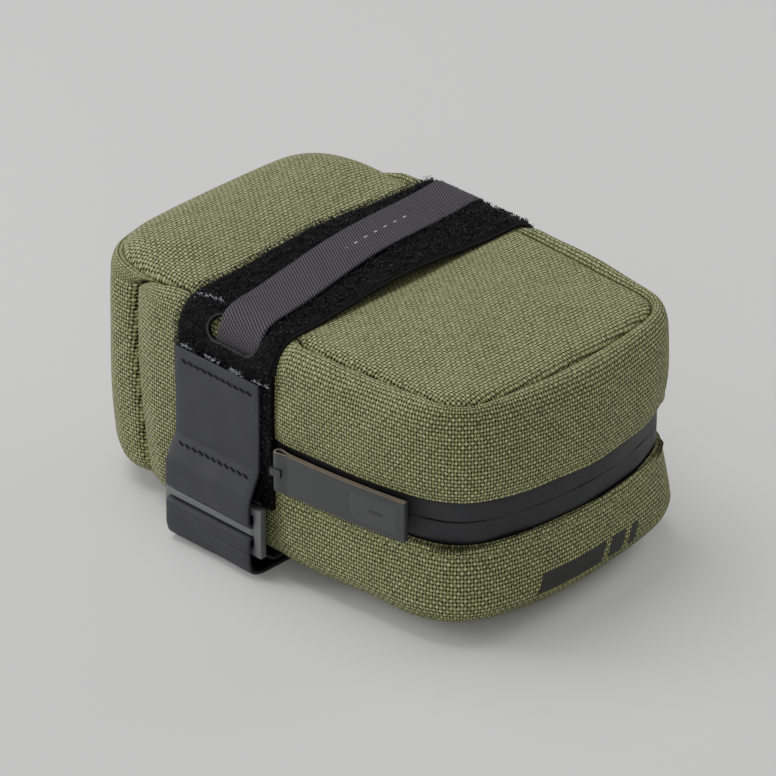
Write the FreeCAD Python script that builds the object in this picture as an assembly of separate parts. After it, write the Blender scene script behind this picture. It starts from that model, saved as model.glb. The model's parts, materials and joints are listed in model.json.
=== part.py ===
"""Saddle bag: a soft box with a zipped rear mouth and a hook-and-loop rail strap with a slide buckle.

Row frame: +X towards the bag's rear, +Y towards its far side, +Z up. The origin is under the middle of the
strap, on the underside that the bag stands on. Lengths are millimetres and angles are degrees.
"""
import FreeCAD, Part
import math
import os

Vec = FreeCAD.Vector

# ---- bag outline, seen from above -------------------------------------------------------------------
BAG_LENGTH = 147.0
BAG_FRONT_X = -62.5          # the strap sits ahead of the middle
FRONT_WIDTH = 81.0           # between the corners of the front end
REAR_WIDTH = 85.0
SIDE_CROWN = 8.0             # how far each side bulges past the line between its corners
REAR_CROWN = 8.5
FRONT_CROWN = 3.0
FRONT_CORNER_R = 17.0
REAR_CORNER_R = 17.0
# ---- bag height and walls ---------------------------------------------------------------------------
BAG_HEIGHT = 66.6
EDGE_R = 8.0                 # rounding between the walls and the top and bottom
SKIN = 1.0                   # outer fabric
FOAM = 2.5
LINING = 0.5
SEAM_INSET = 6.0             # from the outline in to the seam of the top and bottom panels
FRONT_SEAM_X = -37.5         # seam between the front panel and the side panels
# ---- zip ----------------------------------------------------------------------------------------------
ZIP_RISE = 32.0              # from the bag's bottom up to the zip's middle
ZIP_WINDOW = 13.2            # tape that shows between the walls
TAPE_LAP = 2.8               # tape that runs on behind each wall
TAPE = 0.9
SLIT = 1.0                   # gap between the two halves, which the slider's wedge runs in
COIL = 1.4
COIL_HEIGHT = 2.2
MOUTH_ANGLE = 35.0           # how far the lower jaw drops
FOLD_MARGIN = 2.0            # spare angle in the fold of the hinge
BODY_GAP = 0.3               # between solids of different bodies
# ---- slider and pull ----------------------------------------------------------------------------------
SLIDER_LENGTH = 10.0
SLIDER_HEIGHT = 9.0
SLIDER_PLATE = 1.2
SLIDER_PLAY = 0.8            # each side of the zip, because the side it runs along is slightly curved
WEDGE_PLAY = 0.2             # between the slider's wedge and each coil
EYE_PLAY = 0.05              # between the pin and the strip round it
SLIDER_BEHIND_STRAP = 0.6    # between the strap's edge and the parked slider
SLIDER_TRAVEL = 34.0
WEDGE_LENGTH = 3.0
BAIL_WIDTH = 2.4
BAIL_BAR = 0.8
BAIL_SETBACK = 2.2           # from the slider's front end to the pin
PIN_WIRE = 1.2
PIN_PLAY = 0.35              # between the pin and the bail
PULL_LENGTH = 43.5
PULL_HEIGHT = 11.8
PULL_THICK = 1.8             # two layers of coated fabric
EYE_WALL = 0.6               # fabric round the pin
STOP_LENGTH = 1.6
HINGE_SETBACK = 2.0          # from the strap's edge back to the jaw's hinge line
ZIP_END_SETBACK = 2.2        # the window runs on this far in under the strap
END_TAB_LENGTH = 10.0        # plain tape past the stops
# ---- strap --------------------------------------------------------------------------------------------
STRAP_WIDTH = 36.0
STRAP = 1.5
STRAP_CLEARANCE = 0.2
SLOT_LENGTH = 19.0           # along the bag
NEAR_SLOT_X = 1.5
FAR_SLOT_X = -6.0
SLOT_FROM = 14.0             # degrees round the shoulder, from the side up to the top
SLOT_TO = 62.0
SLOT_CORNER_R = 2.5
EDGE_BINDING = 1.4           # width of the smooth edging along the strap
PATCH = 1.0
PATCH_TOP_DROP = 12.0        # from the bag's top to the patch's top edge
PATCH_STITCH_INSET = 3.6     # upper row of stitches below the patch's top edge
STITCH_LENGTH = 2.3
STITCH_PITCH = 3.0
STITCH_THREAD = 0.5
# ---- buckle -------------------------------------------------------------------------------------------
PATCH_SETBACK = 1.3          # from the strap's front edge to the patch, buckle and tail
BUCKLE_WIDTH = 36.6
BUCKLE_SIDE_BAR = 2.8
BUCKLE_BAR = 2.3             # bar height
BUCKLE_THICK = 2.2
BUCKLE_EDGE_R = 0.7
BUCKLE_PITCH = 6.2           # between bar centres
BUCKLE_DROP = 11.0           # the middle bar's height above the bag's bottom
LOOP_PLAY = 0.1              # between a bar's corner and the strap that is folded round it
FOLD_SIDE_PLAY = 0.3         # between the folded strap and the buckle's side bars
LOOP_STITCH_RISE = 9.0       # the lower row of stitches above the buckle's top bar
LOOP_SHOULDER_R = 2.0        # bend where the patch turns down in front of the top bar
PATCH_BEND_R = 4.0           # bend where the patch leaves the strap
# ---- tail and hook strip --------------------------------------------------------------------------------
TAIL_REACH = 60.0            # how far the tail runs in under the bag from the near side
TAIL = 1.0
HOOK = 0.5
HOOK_LENGTH = 42.0
HOOK_WIDTH = 26.0
TAIL_BEND_R = 5.5
END_STRAP_BEND_R = 4.0
STAND_PLAY = 0.1             # left between the hooks and the strap over them
# ---- rail webbing -------------------------------------------------------------------------------------
WEB_WIDTH = 15.5
WEB_NEAR_X = 2.8             # the webbing runs a little askew over the strap
WEB_FAR_X = -6.0
WEB = 1.0
WEB_CLEARANCE = 0.2
WEB_BEND_R = 4.0
WEB_FOOT = 8.0               # degrees of shoulder that the webbing's foot reaches below the slot's middle
# ---- inside -------------------------------------------------------------------------------------------
BOARD_INSET = 9.0
BINDING = 1.2
BINDING_HEIGHT = 5.0
BINDING_INSET = 4.3
# ---- worked out -----------------------------------------------------------------------------------------
BASE_Z = STRAP + TAIL + HOOK + STRAP_CLEARANCE + BODY_GAP + STAND_PLAY   # the bag's bottom over the floor
TOP_Z = BASE_Z + BAG_HEIGHT
ZIP_Z = BASE_Z + ZIP_RISE
BAG_REAR_X = BAG_FRONT_X + BAG_LENGTH
STRAP_EDGE = STRAP_WIDTH / 2
HINGE_X = STRAP_EDGE + HINGE_SETBACK   # the jaw starts behind the strap, which keeps the front half closed
ZIP_END_X = STRAP_EDGE - ZIP_END_SETBACK
FAR = 400.0                  # past everything, for cutting tools
TINY = 0.1                   # kept off a rounding that would meet itself
WALL = SKIN + FOAM + LINING


# ---- outline -------------------------------------------------------------------------------------------
def circle_of(a, b, crown):
    """Centre and radius of the arc from a to b that bulges by crown to the right of that line."""
    chord = b.sub(a)
    half = chord.Length / 2
    radius = (half * half + crown * crown) / (2 * crown)
    inward = Vec(-chord.y, chord.x, 0).normalize()
    return a.add(chord * 0.5).add(inward * (radius - crown)), radius


def outline_circles():
    """The side, rear, far side and front circles, anticlockwise from the near side."""
    front = BAG_FRONT_X + FRONT_CROWN
    rear = BAG_REAR_X - REAR_CROWN
    corners = [Vec(front, -FRONT_WIDTH / 2, 0), Vec(rear, -REAR_WIDTH / 2, 0),
               Vec(rear, REAR_WIDTH / 2, 0), Vec(front, FRONT_WIDTH / 2, 0)]
    crowns = [SIDE_CROWN, REAR_CROWN, SIDE_CROWN, FRONT_CROWN]
    circles = [circle_of(corners[i], corners[(i + 1) % 4], crowns[i]) for i in range(4)]
    return corners, circles


def corner_centre(first, second, corner, radius):
    """Centre of the corner arc that touches two outline circles from inside."""
    (c1, r1), (c2, r2) = first, second
    d1, d2 = r1 - radius, r2 - radius
    span = c2.sub(c1)
    along = (d1 * d1 - d2 * d2 + span.Length ** 2) / (2 * span.Length)
    across = math.sqrt(d1 * d1 - along * along)
    unit = Vec(span).normalize()
    side = Vec(-unit.y, unit.x, 0)
    foot = c1.add(unit * along)
    return min((foot.add(side * across), foot.sub(side * across)), key=lambda p: p.sub(corner).Length)


def outline(inset):
    """Closed wire of the bag's outline at z 0, moved in by inset, or out if that is negative."""
    corners, circles = outline_circles()
    radii = [FRONT_CORNER_R, REAR_CORNER_R, REAR_CORNER_R, FRONT_CORNER_R]
    centres = [corner_centre(circles[i - 1], circles[i], corners[i], radii[i]) for i in range(4)]

    def on(circle, towards):
        centre, radius = circle
        return centre.add(Vec(towards.sub(centre)).normalize() * (radius - inset))

    edges = []
    for i in range(4):
        before, after = circles[i - 1], circles[i]
        start, end = on(before, centres[i]), on(after, centres[i])
        middle = Vec(corners[i].sub(centres[i])).normalize() * (radii[i] - inset)
        edges.append(Part.Arc(start, centres[i].add(middle), end).toShape())
        nearer = on(after, centres[(i + 1) % 4])
        way = Vec(end.add(nearer) * 0.5).sub(after[0]).normalize()
        edges.append(Part.Arc(end, after[0].add(way * (after[1] - inset)), nearer).toShape())
    return Part.Wire(edges)


def side_y(x, inset=0.0):
    """Y of the near side's outer face at x."""
    centre, radius = outline_circles()[1][0]
    return centre.y - math.sqrt((radius - inset) ** 2 - (x - centre.x) ** 2)


HALF_WIDTH = -side_y(min(outline_circles()[1][0][0].x, STRAP_EDGE))   # at the widest place under the strap


def prism(inset, low, high):
    """The outline at an inset, between two heights."""
    face = Part.Face(outline(inset))
    face.translate(Vec(0, 0, low))
    return face.extrude(Vec(0, 0, high - low))


def rounded_body(inset):
    """The whole bag at an inset, with its top and bottom edges rounded."""
    low, high = BASE_Z + inset, TOP_Z - inset
    solid = prism(inset, low, high)
    rims = [e for e in solid.Edges
            if abs(e.BoundBox.ZMin - e.BoundBox.ZMax) < 1e-6 and min(abs(e.BoundBox.ZMin - low),
                                                                      abs(e.BoundBox.ZMin - high)) < 1e-6]
    return solid.makeFillet(EDGE_R - inset, rims)


def box(x0, x1, y0, y1, z0, z1):
    """Block between two corners."""
    return Part.makeBox(x1 - x0, y1 - y0, z1 - z0, Vec(x0, y0, z0))


def side_prism(points):
    """A prism along Y whose section is a list of (x, z) points."""
    wire = Part.makePolygon([Vec(x, -FAR, z) for x, z in points + points[:1]])
    return Part.Face(wire).extrude(Vec(0, 2 * FAR, 0))


def ahead_of_hinge(notch=None, start=ZIP_END_X):
    """Everything ahead of the mouth's hinge, less the zip's end if a notch half height is given."""
    region = box(-FAR, HINGE_X, -FAR, FAR, -FAR, FAR)
    if notch is None:
        return region
    return region.cut(box(start, FAR, -FAR, FAR, ZIP_Z - notch, ZIP_Z + notch))


def fold_foot(drop):
    """X of the sloping cut that leaves room for the fold, at a drop below the hinge."""
    return HINGE_X + drop * math.tan(math.radians(MOUTH_ANGLE + FOLD_MARGIN))


def jaw_region(below):
    """Behind the fold of the hinge, and lower than the zip's middle by at least below."""
    start = HINGE_X + BODY_GAP
    return side_prism([(start + fold_foot(below) - HINGE_X, ZIP_Z - below), (FAR, ZIP_Z - below),
                       (FAR, ZIP_Z - FAR), (start + fold_foot(FAR) - HINGE_X, ZIP_Z - FAR)])


def fold_region(below):
    """The wedge of cloth between the hinge and the jaw."""
    return side_prism([(HINGE_X, ZIP_Z - below), (fold_foot(below), ZIP_Z - below),
                       (fold_foot(FAR), ZIP_Z - FAR), (HINGE_X, ZIP_Z - FAR)])


def upper_region(above):
    """Behind the hinge, and higher than the zip's middle by at least above."""
    return box(HINGE_X, FAR, -FAR, FAR, ZIP_Z + above, FAR)


# ---- bag ------------------------------------------------------------------------------------------------
def skin_parts():
    """The outer cloth: top and bottom panels, front, sides, and the walls over and under the zip."""
    skin = rounded_body(0).cut(rounded_body(SKIN))
    middle = (TOP_Z + BASE_Z) / 2
    panel_core = prism(SEAM_INSET, -FAR, FAR)
    top = skin.common(panel_core).common(box(-FAR, FAR, -FAR, FAR, middle, FAR))
    bottom = skin.common(panel_core).common(box(-FAR, FAR, -FAR, FAR, -FAR, middle))
    wall = skin.cut(panel_core)
    window = ZIP_WINDOW / 2
    sides = wall.common(ahead_of_hinge(window)).common(box(FRONT_SEAM_X, FAR, -FAR, FAR, -FAR, FAR))
    return {
        "top_panel": top,
        "bottom_panel_front": bottom.common(ahead_of_hinge()),
        "bottom_panel_rear": bottom.common(jaw_region(window)),
        "front_panel": wall.common(box(-FAR, FRONT_SEAM_X, -FAR, FAR, -FAR, FAR)),
        "side_panel_near": sides.common(box(-FAR, FAR, -FAR, 0, -FAR, FAR)),
        "side_panel_far": sides.common(box(-FAR, FAR, 0, FAR, -FAR, FAR)),
        "upper_wall": wall.common(upper_region(window)),
        "lower_wall": wall.common(jaw_region(window)),
        "hinge_gusset": skin.common(fold_region(window)),
    }


def ring(outer, inner, low, high):
    """An upright band between two insets."""
    return prism(outer, low, high).cut(prism(inner, low - 1, high + 1))


def foam_parts():
    """Foam in the walls, and the boards that keep the top and bottom flat."""
    low, high = BASE_Z + EDGE_R, TOP_Z - EDGE_R
    lap = ZIP_WINDOW / 2 + TAPE_LAP + BODY_GAP
    band = ring(SKIN, SKIN + FOAM, low, high)
    board_low = BASE_Z + SKIN
    lower_board = prism(BOARD_INSET, board_low, board_low + FOAM)
    return {
        "front_foam": band.common(ahead_of_hinge(lap, ZIP_END_X - END_TAB_LENGTH - BODY_GAP)),
        "upper_foam": band.common(upper_region(lap)),
        "lower_foam": band.common(jaw_region(lap)),
        "top_board": prism(BOARD_INSET, TOP_Z - SKIN - FOAM, TOP_Z - SKIN),
        "bottom_board_front": lower_board.common(ahead_of_hinge()),
        "bottom_board_rear": lower_board.common(jaw_region(lap)),
    }


def lining_parts():
    """The inner cloth, open along the zip."""
    lining = rounded_body(SKIN + FOAM).cut(rounded_body(WALL))
    edge = ZIP_WINDOW / 2
    return {
        "main_lining": lining.common(ahead_of_hinge(edge).fuse(upper_region(edge))),
        "mouth_lining": lining.common(jaw_region(edge)),
    }


def binding_parts():
    """Tape that binds the raw edges of the top and bottom seams, inside the lining."""
    top = ring(WALL + BINDING_INSET, WALL + BINDING_INSET + BINDING,
               TOP_Z - WALL - BINDING_HEIGHT, TOP_Z - WALL)
    bottom = ring(WALL + BINDING_INSET, WALL + BINDING_INSET + BINDING,
                  BASE_Z + WALL, BASE_Z + WALL + BINDING_HEIGHT)
    return {
        "top_seam_binding": top,
        "bottom_seam_binding_front": bottom.common(ahead_of_hinge()),
        "bottom_seam_binding_rear": bottom.common(jaw_region(ZIP_WINDOW)),
    }


def zip_parts():
    """Two tapes with a slit between them, a coil on each, and a stop at each end."""
    half, slit = ZIP_WINDOW / 2 + TAPE_LAP, SLIT / 2
    tape = ring(SKIN, SKIN + TAPE, ZIP_Z - half, ZIP_Z + half)
    coil = ring(SKIN + TAPE, SKIN + TAPE + COIL, ZIP_Z - slit - COIL_HEIGHT, ZIP_Z + slit + COIL_HEIGHT)
    end_tabs = tape.common(box(ZIP_END_X - END_TAB_LENGTH, HINGE_X, -FAR, FAR, -FAR, FAR))
    stop = ring(SKIN + TAPE, SKIN + TAPE + COIL, ZIP_Z - COIL_HEIGHT, ZIP_Z + COIL_HEIGHT)
    return {
        "upper_zip_tape": tape.common(upper_region(slit)),
        "lower_zip_tape": tape.common(jaw_region(slit)),
        "zip_end_tabs": end_tabs.cut(box(ZIP_END_X + STOP_LENGTH, FAR, -FAR, FAR, ZIP_Z - slit, ZIP_Z + slit)),
        "upper_coil": coil.common(upper_region(slit)),
        "lower_coil": coil.common(jaw_region(slit)),
        "zip_stops": stop.common(box(ZIP_END_X, ZIP_END_X + STOP_LENGTH, -FAR, FAR, -FAR, FAR)),
    }


# ---- slider and pull --------------------------------------------------------------------------------------
def slide_frame():
    """Where the slider is parked, and the unit vectors along its way and out of the bag."""
    start_x = STRAP_EDGE + SLIDER_BEHIND_STRAP + SLIDER_LENGTH / 2
    end_x = start_x + SLIDER_TRAVEL
    along = Vec(end_x - start_x, side_y(end_x) - side_y(start_x), 0).normalize()
    out = Vec(along.y, -along.x, 0)
    return Vec(start_x, side_y(start_x), ZIP_Z), along, out


def slider_block(u0, u1, o0, o1, z0, z1):
    """Block in the slider's own directions: u along its way, o out of the bag, z from the zip's middle."""
    start, along, out = slide_frame()
    corners = [(u0, o0), (u1, o0), (u1, o1), (u0, o1)]
    points = [start.add(along * u).add(out * o).add(Vec(0, 0, z0)) for u, o in corners]
    return Part.Face(Part.makePolygon(points + points[:1])).extrude(Vec(0, 0, z1 - z0))


def upright(u, o, radius, z0, z1):
    """Upright round bar in the slider's own directions."""
    start, along, out = slide_frame()
    foot = start.add(along * u).add(out * o).add(Vec(0, 0, z0))
    return Part.makeCylinder(radius, z1 - z0, foot)


PLATE_IN = -(SKIN - SLIDER_PLAY)                 # inner face of the outer plate, measured out of the bag
PLATE_OUT = PLATE_IN + SLIDER_PLATE
COIL_IN = -(SKIN + TAPE + COIL)
EYE_R = PIN_WIRE / 2 + EYE_WALL
PIN_U = BAIL_SETBACK - SLIDER_LENGTH / 2
PIN_OUT = PLATE_OUT + BODY_GAP + EYE_R
BAIL_IN = PIN_WIRE / 2 + PIN_PLAY                # from the pin's middle to the bail's inner faces
BAIL_OUT = BAIL_IN + BAIL_BAR


def slider_parts():
    """Slider: outer and inner plate joined by a thin wedge in the zip's slit, and the bail over it."""
    half, tall = SLIDER_LENGTH / 2, SLIDER_HEIGHT / 2
    outer = slider_block(-half, half, PLATE_IN, PLATE_OUT, -tall, tall)
    ends = [e for e in outer.Edges if e.BoundBox.ZLength > tall]
    outer = outer.makeFillet(SLIDER_PLATE / 2 - TINY, ends)
    inner_face = COIL_IN - SLIDER_PLAY
    inner = slider_block(-half, half, inner_face - SLIDER_PLATE, inner_face, -tall, tall)
    blade = SLIT / 2 - WEDGE_PLAY
    wedge = slider_block(-half, WEDGE_LENGTH - half, inner_face - SLIDER_PLATE / 2,
                         PLATE_IN + SLIDER_PLATE / 2, -blade, blade)
    arch = slider_block(PIN_U - BAIL_OUT, PIN_U + BAIL_OUT, PLATE_OUT, PIN_OUT + BAIL_OUT,
                        -BAIL_WIDTH / 2, BAIL_WIDTH / 2)
    hole = slider_block(PIN_U - BAIL_IN, PIN_U + BAIL_IN, PLATE_OUT - 1, PIN_OUT + BAIL_IN,
                        -BAIL_WIDTH, BAIL_WIDTH)
    return {"slider_body": outer.fuse(inner).fuse(wedge).removeSplitter(), "slider_bail": arch.cut(hole)}


def pull_parts():
    """Wire pin through the bail, and the two-layer strip that is folded round the pin."""
    start, along, out = slide_frame()
    axis = start.add(along * PIN_U).add(out * PIN_OUT)
    tall = PULL_HEIGHT / 2
    pin = upright(PIN_U, PIN_OUT, PIN_WIRE / 2, -tall + EYE_WALL, tall - EYE_WALL)
    inside = PIN_OUT - PULL_THICK / 2
    strip = ring(-(inside + PULL_THICK), -inside, ZIP_Z - tall, ZIP_Z + tall)
    strip = strip.common(box(axis.x, axis.x + PULL_LENGTH, -FAR, 0, -FAR, FAR))
    strip = strip.fuse(upright(PIN_U, PIN_OUT, EYE_R, -tall, tall)).removeSplitter()
    strip = strip.cut(upright(PIN_U, PIN_OUT, PIN_WIRE / 2 + EYE_PLAY, -tall + EYE_WALL, tall - EYE_WALL))
    reach = math.hypot(BAIL_OUT, BAIL_OUT) + BODY_GAP
    notch = BAIL_WIDTH / 2 + BODY_GAP
    strip = strip.cut(slider_block(PIN_U - 2 * reach, PIN_U + reach, 0, FAR, -notch, notch))
    return {"pull_pin": pin, "pull_strip": strip}


# ---- strap: ribbons in the Y-Z plane ---------------------------------------------------------------------
def ribbon_sides(path, radii, thickness):
    """Edges of a ribbon that follows a rounded path of (y, z) points, at both faces."""
    points = [Vec(0, y, z) for y, z in path]

    def normal(a, b):
        way = b.sub(a).normalize()
        return Vec(0, -way.z, way.y)

    sides = []
    for shift in (-thickness / 2, thickness / 2):
        edges = []
        at = points[0].add(normal(points[0], points[1]) * shift)
        for i in range(1, len(points) - 1):
            before, here, after = points[i - 1], points[i], points[i + 1]
            n1, n2 = normal(before, here), normal(here, after)
            turn = 1 if n1.cross(n2).x > 0 else -1
            half = n1.getAngle(n2) / 2
            reach = radii[i - 1] * math.tan(half)
            way1, way2 = here.sub(before).normalize(), after.sub(here).normalize()
            start = here.sub(way1 * reach).add(n1 * shift)
            end = here.add(way2 * reach).add(n2 * shift)
            centre = here.sub(way1 * reach).add(n1 * (turn * radii[i - 1]))
            out = Vec(n1.add(n2)).normalize() * (-turn)
            middle = centre.add(out * (radii[i - 1] - turn * shift))
            if at.sub(start).Length > 1e-6:
                edges.append(Part.makeLine(at, start))
            edges.append(Part.Arc(start, middle, end).toShape())
            at = end
        last = points[-1].add(normal(points[-2], points[-1]) * shift)
        if at.sub(last).Length > 1e-6:
            edges.append(Part.makeLine(at, last))
        sides.append((edges, points[0].add(normal(points[0], points[1]) * shift), last))
    return sides


def ribbon(path, radii, thickness, width, centre_x=0.0):
    """A flat band of that width along X, bent along a rounded path of (y, z) points."""
    (low, low_start, low_end), (high, high_start, high_end) = ribbon_sides(path, radii, thickness)
    caps = [Part.makeLine(low_start, high_start), Part.makeLine(low_end, high_end)]
    wire = Part.Wire(Part.__sortEdges__(low + high + caps))
    face = Part.Face(wire)
    face.translate(Vec(centre_x - width / 2, 0, 0))
    return face.extrude(Vec(width, 0, 0))


STRAP_OFFSET = STRAP_CLEARANCE + STRAP / 2       # from the bag to the strap's middle
STRAP_Y = HALF_WIDTH + STRAP_OFFSET
STRAP_TOP = TOP_Z + STRAP_OFFSET
STRAP_LOW = BASE_Z - STRAP_OFFSET
STRAP_R = EDGE_R + STRAP_OFFSET
STRAP_END_Y = STRAP_R - STRAP_Y                  # the pile strap's low end, under the bag
BAR_MID_Z = BASE_Z + BUCKLE_DROP
TOP_BAR_Z = BAR_MID_Z + BUCKLE_PITCH
LOW_BAR_Z = BAR_MID_Z - BUCKLE_PITCH
LOOP_IN = math.hypot(BUCKLE_BAR / 2, BUCKLE_THICK / 2) + LOOP_PLAY   # inner radius of a folded loop
PATCH_Y = -(STRAP_Y + STRAP / 2 + PATCH / 2)
BAR_Y = PATCH_Y - PATCH / 2 - LOOP_IN
FOLD_WIDTH = BUCKLE_WIDTH - 2 * BUCKLE_SIDE_BAR - 2 * FOLD_SIDE_PLAY
BUCKLE_X = PATCH_SETBACK - STRAP_EDGE + FOLD_WIDTH / 2
PATCH_TOP_Z = TOP_Z - PATCH_TOP_DROP
LOOP_STITCH_Z = TOP_BAR_Z + LOOP_STITCH_RISE


def shoulder_cutter(side, slot_x):
    """Tool for the slot over one shoulder of the strap, side -1 for the near one and 1 for the far one."""
    centre = Vec(0, side * (STRAP_Y - STRAP_R), STRAP_TOP - STRAP_R)
    middle = math.radians((SLOT_FROM + SLOT_TO) / 2)
    out = Vec(0, side * math.cos(middle), math.sin(middle))
    tangent = Vec(0, -side * math.sin(middle), math.cos(middle))
    half = STRAP_R * math.sin(math.radians((SLOT_TO - SLOT_FROM) / 2))
    long = SLOT_LENGTH / 2
    base = centre.add(out * (STRAP_R / 2))
    corners = [base.add(Vec(slot_x + x, 0, 0)).add(tangent * t)
               for x, t in ((-long, -half), (long, -half), (long, half), (-long, half))]
    block = Part.Face(Part.makePolygon(corners + corners[:1])).extrude(out * STRAP_R)
    lines = [e for e in block.Edges if abs(abs(e.tangentAt(e.FirstParameter).dot(out)) - 1) < 1e-6]
    return block.makeFillet(min(SLOT_CORNER_R, half - TINY), lines)


def strap_parts():
    """The pile strap with its slots and edging, the coated patch with its loop, and the stitches."""
    path = [(-STRAP_Y, TOP_BAR_Z), (-STRAP_Y, STRAP_TOP), (STRAP_Y, STRAP_TOP), (STRAP_Y, STRAP_LOW),
            (STRAP_END_Y, STRAP_LOW)]
    radii = [STRAP_R, STRAP_R, STRAP_R]
    strap = ribbon(path, radii, STRAP, STRAP_WIDTH - 2 * EDGE_BINDING)
    for side, slot_x in ((-1, NEAR_SLOT_X), (1, FAR_SLOT_X)):
        strap = strap.cut(shoulder_cutter(side, slot_x))
    edging = [ribbon(path, radii, STRAP, EDGE_BINDING, side * (STRAP_EDGE - EDGE_BINDING / 2))
              for side in (-1, 1)]
    return {
        "pile_strap": strap,
        "strap_edging": Part.Compound(edging),
        "coated_patch": patch_loop(),
        "patch_stitches": stitch_rows(),
    }


def patch_loop():
    """The coated strip, flat on the strap, then down in front of the buckle's top bar and round behind it."""
    loop_r = LOOP_IN + PATCH / 2
    front, back, foot = BAR_Y - loop_r, BAR_Y + loop_r, TOP_BAR_Z - loop_r
    path = [(PATCH_Y, PATCH_TOP_Z), (PATCH_Y, LOOP_STITCH_Z), (front, TOP_BAR_Z + LOOP_SHOULDER_R),
            (front, foot), (back, foot), (back, TOP_BAR_Z + BUCKLE_BAR / 2)]
    radii = [PATCH_BEND_R, LOOP_SHOULDER_R, loop_r, loop_r]
    return ribbon(path, radii, PATCH, FOLD_WIDTH, BUCKLE_X)


def stitch_rows():
    """Two rows of stitches that hold the patch to the strap."""
    count = int(FOLD_WIDTH / STITCH_PITCH) - 1
    face = PATCH_Y - PATCH / 2
    thread = []
    for z in (PATCH_TOP_Z - PATCH_STITCH_INSET, LOOP_STITCH_Z + PATCH_BEND_R):
        for i in range(count):
            x = BUCKLE_X + (i - (count - 1) / 2) * STITCH_PITCH
            thread.append(box(x - STITCH_LENGTH / 2, x + STITCH_LENGTH / 2, face - STITCH_THREAD, face,
                              z - STITCH_THREAD / 2, z + STITCH_THREAD / 2))
    return Part.Compound(thread)


def buckle_parts():
    """Slide buckle with three bars, and the end strap that comes up behind it and over its lowest bar."""
    half_w, half_t = BUCKLE_WIDTH / 2, BUCKLE_THICK / 2
    frame = box(BUCKLE_X - half_w, BUCKLE_X + half_w, BAR_Y - half_t, BAR_Y + half_t,
                LOW_BAR_Z - BUCKLE_BAR / 2, TOP_BAR_Z + BUCKLE_BAR / 2)
    inner = half_w - BUCKLE_SIDE_BAR
    for bar in (LOW_BAR_Z, BAR_MID_Z):
        frame = frame.cut(box(BUCKLE_X - inner, BUCKLE_X + inner, -FAR, FAR, bar + BUCKLE_BAR / 2,
                              bar + BUCKLE_PITCH - BUCKLE_BAR / 2))
    rims = [e for e in frame.Edges if e.BoundBox.XLength > BUCKLE_WIDTH - 1]
    frame = frame.makeFillet(BUCKLE_EDGE_R, rims)
    fold_r = LOOP_IN + TAIL / 2
    back, front, head = BAR_Y + fold_r, BAR_Y - fold_r, LOW_BAR_Z + fold_r
    path = [(STRAP_END_Y, STRAP_LOW), (back, STRAP_LOW), (back, head), (front, head), (front, LOW_BAR_Z)]
    end_strap = ribbon(path, [END_STRAP_BEND_R, fold_r, fold_r], TAIL, FOLD_WIDTH, BUCKLE_X)
    return {"buckle_frame": frame, "end_strap": end_strap}


def tail_parts():
    """The strap's free end: down from the buckle, round and in under the bag, with hooks on its inside."""
    front = BAR_Y - LOOP_IN - TAIL / 2
    end_y = TAIL_REACH - HALF_WIDTH
    path = [(front, LOW_BAR_Z - BODY_GAP), (front, TAIL / 2), (end_y, TAIL / 2)]
    tail = ribbon(path, [TAIL_BEND_R], TAIL, FOLD_WIDTH, BUCKLE_X)
    hook_end = end_y - TAIL
    hook = box(BUCKLE_X - HOOK_WIDTH / 2, BUCKLE_X + HOOK_WIDTH / 2, hook_end - HOOK_LENGTH, hook_end,
               TAIL, TAIL + HOOK)
    return {"strap_tail": tail, "hook_strip": hook}


def webbing_parts():
    """The narrow webbing that comes up through both slots and runs over the strap."""
    centre_y, centre_z = HALF_WIDTH - EDGE_R, TOP_Z - EDGE_R
    foot = math.radians((SLOT_FROM + SLOT_TO) / 2 - WEB_FOOT)
    foot_r = EDGE_R + WEB_CLEARANCE + WEB / 2
    foot_y, foot_z = centre_y + foot_r * math.cos(foot), centre_z + foot_r * math.sin(foot)
    top_z = STRAP_TOP + STRAP / 2 + WEB_CLEARANCE + WEB / 2
    lip = math.radians(SLOT_TO)
    lip_r = STRAP_R + STRAP / 2 + WEB
    lip_y = centre_y + lip_r * math.cos(lip)
    path = [(-foot_y, foot_z), (-lip_y, top_z), (lip_y, top_z), (foot_y, foot_z)]
    webbing = ribbon(path, [WEB_BEND_R, WEB_BEND_R], WEB, WEB_WIDTH)
    skew = FreeCAD.Matrix()
    skew.A12 = (WEB_FAR_X - WEB_NEAR_X) / (2 * lip_y)
    skew.A14 = (WEB_FAR_X + WEB_NEAR_X) / 2
    return {"rail_webbing": webbing.transformGeometry(skew)}


def build():
    """Every node of the bag by name."""
    nodes = {}
    for make in (skin_parts, foam_parts, lining_parts, binding_parts, zip_parts, slider_parts, pull_parts,
                 strap_parts, buckle_parts, tail_parts, webbing_parts):
        nodes.update(make())
    return nodes


def write(nodes):
    """Writes each node to its own STEP file."""
    os.makedirs("parts", exist_ok=True)
    for name, shape in nodes.items():
        solids = shape.Solids
        if not solids or not all(s.isValid() and s.Volume > 0 for s in solids):
            raise ValueError("node " + name + " has no valid solid")
        whole = solids[0] if len(solids) == 1 else Part.Compound(solids)
        whole.exportStep("parts/" + name + ".step")
        print(name, len(solids), round(sum(s.Volume for s in solids), 1))


write(build())
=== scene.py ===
"""Looks of the saddle bag: woven shell, coated zip, pile strap, rail webbing, slide buckle and pull strip."""
import sys
import json
import logging
import math
from dataclasses import dataclass, field
from enum import Enum
from functools import cached_property

import bmesh
import bpy
import numpy as np
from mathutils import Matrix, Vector
from mathutils.bvhtree import BVHTree


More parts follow.
